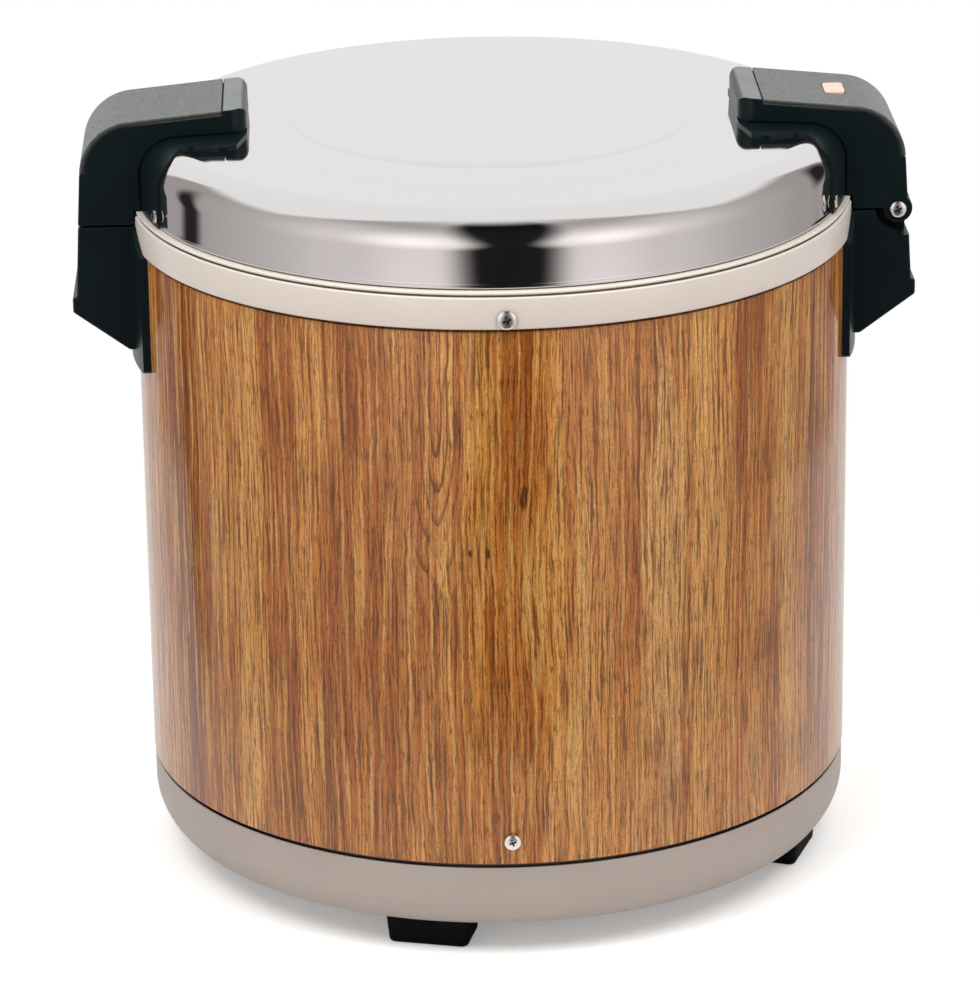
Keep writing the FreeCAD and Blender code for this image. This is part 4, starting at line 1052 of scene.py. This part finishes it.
    def hinge(self, piece: Piece) -> None:
        """Boss at the pin, and the slot that the bracket's knuckle turns in."""
        x, z = self.pin
        reach, far = self.slot_radius, x + 3 * self.slot_radius
        side = [(0, 0, 0), (self.boss, 0, 0.8), (self.boss, self.width, 0.8), (0, self.width, 0)]
        boss = turned(rounded(side, 4), SMALL_STEPS)
        combine(piece, Join.BOTH, lay(boss, Vector((x, -self.width / 2, z)) * MM))
        slot = slab(arc((x, z), reach, 90, 270, 16) + [(far, z - reach), (far, z + reach)], self.slot_width)
        combine(piece, Join.CUT, slot, slab(arc((x, z), self.pin_hole, 0, 345, 23), self.width * 2))

    def saddle_piece(self, side: Side, name: str) -> None:
        """Thin saddle that hugs the lid under the arm and spreads beyond it."""
        lid, x = self.lid, self.tip_x
        half = [(x, self.width / 2, 0), (x + 6.0, self.saddle_tip, 6), (x + 16.0, self.saddle_tip, 8),
                (x + 33.0, self.saddle_neck, 10), (x + 42.0, self.saddle_broad, 8),
                (lid.radius + self.saddle + 2, self.saddle_broad, 0)]
        plan = half + [(px, -py, soft) for px, py, soft in reversed(half)]
        column = extruded([(px, py, lid.edge) for px, py in rounded(plan)], (0, 0, 60))
        piece = combine(make_piece(lid.skin(0, self.saddle), name + "_saddle"), Join.SHARED, column)
        finish_side(piece, side)
        self.fit(piece, "handle_plastic", name + "_handle")

    def cover_piece(self, side: Side, name: str) -> None:
        """Cover plate along the arm's top and down the post's face."""
        plate = slab(self.strip(0, self.cover_lip), self.width)
        soften(plate, self.cover_soft)
        piece = make_piece(plate, name + "_cover")
        body = slab(self.strip(self.cover_lip - self.overlap, self.cover), self.width - 2 * self.line_depth)
        combine(piece, Join.BOTH, body)
        if side is Side.RIGHT:
            combine(piece, Join.CUT, self.lens_block(self.lens_gap, 3))
        finish_side(piece, side)
        self.fit(piece, "cover_plastic", name + "_handle_cover")

    def strip(self, outside: float, inside: float) -> list[Point]:
        """Side view of a layer of the cover, between two depths below its surface."""
        start = self.tip_x + self.seam + self.cover_gap
        end = self.low - self.split_gap / 2 + self.cover_drop + self.cover_gap
        outline = [(start, self.top_at(start, outside))] + self.bend(outside)
        outline += [(self.face_at(end, outside), end), (self.face_at(end, inside), end)]
        return outline + self.bend(inside)[::-1] + [(start, self.top_at(start, inside))]

    def lens_block(self, grow: float, times: float) -> Mesh:
        """Pilot lens as a plain block, grown in plan and made several times as high."""
        low, high = box("pilot_lens")
        middle = (low.x + high.x) / 2
        half_x, half_y = (high.x - low.x) / 2 + grow, (high.y - low.y) / 2 + grow
        plan = rounded([(middle + x * half_x, y * half_y, self.lens_corner)
                        for x, y in ((-1, -1), (1, -1), (1, 1), (-1, 1))])
        return extruded([(x, y, low.z) for x, y in plan], (0, 0, times * (high.z - low.z)))

    def lens(self) -> None:
        """Pilot lens that stands a little proud of the cover."""
        bm = self.lens_block(0, 1)
        soften(bm, self.lens_soft)
        piece = make_piece(bm, "pilot_window")
        even_shading(piece)
        self.fit(piece, "lens_plastic", "pilot_lens")

    def screws(self) -> None:
        """Small screws that hold the saddles to the lid's wall."""
        low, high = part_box("handle_screws")
        reach = (self.lid.radius + self.saddle) * MM
        angle = math.degrees(math.asin(self.screw_side * MM / reach))
        places = [(around(turn) * reach + Vector((0, 0, (low.z + high.z) / 2)), around(turn))
                  for turn in (angle, -angle, 180 - angle, 180 + angle)]
        heads = screw_set("saddle_screws", self.screw_radius, self.screw_height, places, 35.0)
        self.fit(heads, "bright_steel", "handle_screws")


@dataclass
class Brackets(Assembly):
    """Brackets under the handles and the hinge pin in the right one."""

    handles: Handles
    plate: float = 4.0
    plate_width: float = 106.0
    toe: float = 56.0
    lip_drop: float = 35.0
    lip_height: float = 8.0
    lip: float = 2.2
    flare: float = 2.1
    soft: float = 1.1
    notch: float = 11.5
    shoulder_drop: float = 14.4
    knuckle: float = 8.0
    knuckle_width: float = 36.0
    knuckle_root: float = 2.2
    knuckle_soft: float = 0.5
    pin_in: float = 5.5
    pin_radius: float = 2.5
    pin_head: float = 2.0

    def build(self) -> None:
        """Build both brackets and the pin."""
        for side in Side:
            self.bracket(side, side.name.lower())
        self.pin()

    def bracket(self, side: Side, name: str) -> None:
        """Block with a sloping underside on a curved plate."""
        band_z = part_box("top_band")[0].z / MM
        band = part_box("top_band")[1].x / MM
        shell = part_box("outer_shell")[1].x / MM
        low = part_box("left_bracket")[0].z / MM
        back, front = shell - SPARE, shell + self.plate
        width = self.handles.width
        top = self.handles.low - self.handles.split_gap
        lip_z = band_z - self.lip_drop
        face = self.handles.face_x + self.flare
        block = slab([
            (back, top), (self.handles.face_x, top), (face, lip_z + self.lip_height),
            (face + self.lip, lip_z + self.lip_height), (face + self.lip, lip_z), (front, band_z - self.toe),
            (back, band_z - self.toe)], width)
        soften(block, self.soft)
        piece = make_piece(block, name + "_support")
        half = self.plate_width / 2
        plan = rounded([(-half, low, 2), (half, low, 2), (half, band_z - 1, 3), (width / 2, top, 0),
                        (-width / 2, top, 0), (-half, band_z - 1, 3)])
        spread = extruded([(0, y, z) for y, z in plan], (shell + 2 * SPARE, 0, 0))
        ring = make_piece(turned([(back, low), (front, low), (front, top), (back, top)]), "plate")
        combine(piece, Join.BOTH, combine(ring, Join.SHARED, spread))
        combine(piece, Join.CUT, turned([
            (0, low - SPARE), (shell + TRIM, low - SPARE), (shell + TRIM, band_z), (band + TRIM, band_z),
            (band + TRIM, top + 2 * SPARE), (0, top + 2 * SPARE)]))
        if side is Side.RIGHT:
            self.hinge(piece)
        finish_side(piece, side)
        self.fit(piece, "handle_plastic", name + "_bracket")

    def hinge(self, piece: Piece) -> None:
        """Room for the handle's boss, and the knuckle on the pin."""
        x, z = self.handles.pin
        width = self.handles.width * 2
        floor, far, high = z - self.shoulder_drop, x + 2 * SPARE, z + 2 * SPARE
        shoulder = slab([(x, floor), (far, floor), (far, high), (x, high)], width)
        combine(piece, Join.CUT, slab(arc((x, z), self.notch, 0, 352.5, 47), width), shoulder)
        foot = floor - self.knuckle_root
        web = [(x - self.knuckle, foot), (x + self.pin_in, foot)]
        rise = math.degrees(math.acos(self.pin_in / self.knuckle))
        knuckle = slab(web + arc((x, z), self.knuckle, -rise, 180, 28), self.knuckle_width)
        soften(knuckle, self.knuckle_soft, 2)
        combine(piece, Join.BOTH, knuckle)
        combine(piece, Join.CUT, slab(arc((x, z), self.pin_radius, 0, 345, 23), width))

    def pin(self) -> None:
        """Pin with a bright cross head at the front."""
        x, z = self.handles.pin
        low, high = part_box("hinge_pin")
        radius = (high.z - low.z) / 2 / MM
        seat = Vector((x * MM, low.y + self.pin_head * MM, z * MM))
        piece = screw_set("hinge_pin_head", radius, self.pin_head, [(seat, Vector((0, -1, 0)))], 25.0)
        length = (high.y - seat.y) / MM
        shank = turned(rounded([(0, 0, 0), (self.pin_radius, 0, 0), (self.pin_radius, length, 0.4),
                                (0, length, 0)], 3), SMALL_STEPS)
        self.fit(combine(piece, Join.BOTH, lay(shank, seat)), "bright_steel", "hinge_pin")


@dataclass
class Studio:
    """Floor, soft light all round and the camera; angles in degrees, lengths in metres."""

    distance: float = 2.4743    # camera to the drum's axis, in plan
    height: float = 1.0704
    around: float = 2.0         # camera to the left of straight ahead
    pitch: float = 19.71
    yaw: float = -0.069
    roll: float = -0.739
    lens: float = 176.0
    floor_colour: str = "#ECEBE9"
    floor_radius: float = 0.52
    floor_fade: float = 0.22    # the floor fades from this radius to just inside its edge
    floor_hem: float = 0.02
    floor_glow: float = 0.27
    floor_drop: float = -0.0002
    room_tint: str = "#FFF8F8"
    lamp_target: tuple[float, float, float] = (0, 0, 0.22)

    def build(self) -> None:
        """Set the stage."""
        self.floor()
        self.world()
        self.lamps()
        self.camera()
        bpy.context.scene.view_settings.view_transform = "Standard"

    def floor(self) -> None:
        """Round pale sheet that the warmer stands on, fading into the white round it."""
        bm = bmesh.new()
        bmesh.ops.create_circle(bm, cap_ends=True, segments=96, radius=self.floor_radius)
        bmesh.ops.translate(bm, verts=bm.verts, vec=(0, 0, self.floor_drop))
        sheet = make_piece(bm, "floor")
        material = bpy.data.materials.new("white paper sheet")
        node = empty_tree(material)
        reach = node("VectorMath", (node("TexCoord", out="Object"),), "Value", operation="LENGTH")
        fade = node("MapRange", (reach, self.floor_fade, self.floor_radius - self.floor_hem), **SMOOTH)
        share = node("Math", (node("LightPath", out="Is Camera Ray"), self.floor_glow), operation="MULTIPLY")
        glow = node("Emission", {"Color": (1, 1, 1, 1), "Strength": share})
        lit = node("AddShader", (node("BsdfDiffuse", {"Color": linear(self.floor_colour)}), glow))
        node("OutputMaterial", (node("MixShader", (fade, lit, node("BsdfTransparent"))),))
        sheet.data.materials.append(material)

    def world(self) -> None:
        """Studio that the shiny parts mirror: white behind and overhead, grey in front with a dark gap."""
        world = bpy.data.worlds.new("studio")
        bpy.context.scene.world = world
        node = empty_tree(world)
        x, y, z = node("SeparateXYZ", (node("TexCoord", out="Generated"),)).node.outputs
        forward = node("Math", (y, -1.0), operation="MULTIPLY")
        azimuth = node("Math", (x, forward), operation="ARCTAN2")
        elevation = node("Math", (z,), operation="ARCSINE")
        turn = node("Math", (azimuth,), operation="ABSOLUTE")
        light = self.front_light(node, azimuth, elevation, turn)
        tint = node("VectorMath", {0: linear(self.room_tint)[:3], "Scale": light}, operation="SCALE")
        level = node("MapRange", (elevation, radians(-12), radians(20), 0.88, 1.0))
        white = self.white_share(node, elevation, turn)
        lit = node("Mix", {0: white, 6: tint, 7: node("CombineXYZ", [level] * 3)}, 2, data_type="RGBA")
        share = self.corners(node, azimuth, elevation)
        studio = node("VectorMath", {0: lit, "Scale": share}, operation="SCALE")
        seen = node("Mix", {0: node("LightPath", out="Is Camera Ray"), 6: studio, 7: (1, 1, 1, 1)}, 2,
                    data_type="RGBA")
        node("OutputWorld", (node("Background", {"Color": seen, "Strength": 1.0}),))

    def white_share(self, node: Adder, elevation: Socket, turn: Socket) -> Socket:
        """White paper behind, overhead and on the ground; its edge is high in front and low at the sides.

        Args:
            node: Adds a node to the world.
            elevation: Angle above the horizon.
            turn: Angle away from straight ahead, without its sign.

        Returns:
            1 on the paper, 0 in the room.
        """
        edges = []
        for start, high, low in ((50, 60, 28), (45, 88, 40)):
            side = node("MapRange", (turn, *map(radians, (start, 90, high, low))), **SMOOTH)
            back = node("MapRange", (turn, *map(radians, (126, 150, 0, -80))), **SMOOTH)
            edges.append(node("Math", (side, back)))
        paper = node("MapRange", (elevation, *edges), **SMOOTH)
        low = node("MapRange", (elevation, radians(-16.4), radians(-18.0)))
        flank = node("MapRange", (turn, radians(92), radians(116)))
        ground = node("Math", (low, flank), operation="MULTIPLY")
        return node("Math", (paper, ground), operation="MAXIMUM")

    def front_light(self, node: Adder, azimuth: Socket, elevation: Socket, turn: Socket) -> Socket:
        """Grey front of the room, with a glow on each side of a dark gap.

        Args:
            node: Adds a node to the world.
            azimuth: Angle to the right of straight ahead.
            elevation: Angle above the horizon.
            turn: Azimuth without its sign.

        Returns:
            Strength of the light.
        """
        room = node("MapRange", (turn, radians(60), radians(115), 0.68, 0.42))
        above = node("MapRange", (elevation, radians(36), radians(58), 1.0, 0.70), **SMOOTH)
        light = node("Math", (room, above), operation="MULTIPLY")
        shifted = node("Math", (azimuth, radians(3.5)), operation="SUBTRACT")
        offset = node("Math", (shifted,), operation="ABSOLUTE")
        for middle, size, most in (((28, 8), (30, 38), 0.62), ((50, 8), (40, 40), 0.2)):
            spot = self.spot(node, (offset, elevation), middle, size)
            glow = node("MapRange", (spot, 0, 1, most, 0), **SMOOTH)
            light = node("Math", (light, glow))

        # The gap is narrow at eye level, wider below and above.
        below = node("MapRange", (elevation, *map(radians, (-3, -16, 0, 5.5))))
        over = node("MapRange", (elevation, *map(radians, (6, 65, 0, 13))))
        wider = node("Math", (below, over))
        edges = [node("Math", (wider, radians(edge))) for edge in (4.5, 18)]
        gap = node("MapRange", (offset, *edges, 0.02), **SMOOTH)
        return node("Math", (light, gap), operation="MULTIPLY")

    def spot(self, node: Adder, way: Sequence[Socket], middle: Point, size: Point) -> Socket:
        """Distance from the middle of an oval patch of the room, 1 at its edge.

        Args:
            node: Adds a node to the world.
            way: Azimuth and elevation.
            middle: Azimuth and elevation of the patch.
            size: Half width and half height.

        Returns:
            The distance.
        """
        shares = [node("MapRange", (angle, radians(start), radians(start + reach)), clamp=False)
                  for angle, start, reach in zip(way, middle, size)]
        return node("VectorMath", (node("CombineXYZ", shares),), "Value", operation="LENGTH")

    def corners(self, node: Adder, azimuth: Socket, elevation: Socket) -> Socket:
        """Dark corner of the room on each flank: the light there, as a share."""
        share: Any = 1.0
        for middle, size in (((-116, -8), (8, 34)), ((128, 4), (9, 22))):
            spot = self.spot(node, (azimuth, elevation), middle, size)
            dark = node("MapRange", (spot, 0.35, 1, 0.05), **SMOOTH)
            share = node("Math", (dark, share), operation="MULTIPLY")
        return share

    def lamps(self) -> None:
        """Two large soft boxes in front; their mirror images are the world's glows."""
        for name, azimuth, elevation, reach, size, power in (
                ("soft_box_left", -47, 55, 2.0, 1.2, 22), ("soft_box_right", 47, 55, 2.0, 1.2, 18)):
            data = bpy.data.lights.new(name, "AREA")
            data.shape = "DISK"
            data.size = size
            data.energy = power
            lamp = bpy.data.objects.new(name, data)
            turn, tilt = radians(azimuth), radians(elevation)
            way = Vector((math.sin(turn) * math.cos(tilt), -math.cos(turn) * math.cos(tilt), math.sin(tilt)))
            lamp.location = Vector(self.lamp_target) + way * reach
            lamp.rotation_mode = "QUATERNION"
            lamp.rotation_quaternion = way.to_track_quat("Z", "Y")
            lamp.visible_glossy = False
            bpy.context.scene.collection.objects.link(lamp)

    def camera(self) -> None:
        """Camera at the photograph's angle."""
        data = bpy.data.cameras.new("camera")
        data.lens = self.lens
        data.sensor_width = 36.0
        data.clip_end = 100.0
        made = bpy.data.objects.new("camera", data)
        turn, pitch, roll = radians(self.around), radians(self.pitch), radians(self.roll)
        yaw = turn + radians(self.yaw)
        ahead = Vector((math.sin(yaw) * math.cos(pitch), math.cos(yaw) * math.cos(pitch), -math.sin(pitch)))
        level = Vector((math.cos(yaw), -math.sin(yaw), 0))
        upright = level.cross(ahead)
        right = level * math.cos(roll) + upright * math.sin(roll)
        up = upright * math.cos(roll) - level * math.sin(roll)
        place = Vector((-math.sin(turn) * self.distance, -math.cos(turn) * self.distance, self.height))
        made.matrix_world = Matrix.Translation(place) @ Matrix((right, up, -ahead)).transposed().to_4x4()
        bpy.context.scene.collection.objects.link(made)
        bpy.context.scene.camera = made


def main() -> None:
    """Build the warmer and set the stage."""
    logging.basicConfig(level=logging.INFO, format="%(message)s")
    finishes = Finishes()
    finishes.dress()
    Drum(finishes, Body.DRUM).build()
    Pot(finishes, Body.POT).build()
    lid = Lid(finishes, Body.LID)
    lid.build()
    handles = Handles(finishes, Body.LID, lid)
    handles.build()
    Brackets(finishes, Body.DRUM, handles).build()
    Studio().build()


if __name__ == "__main__":
    main()
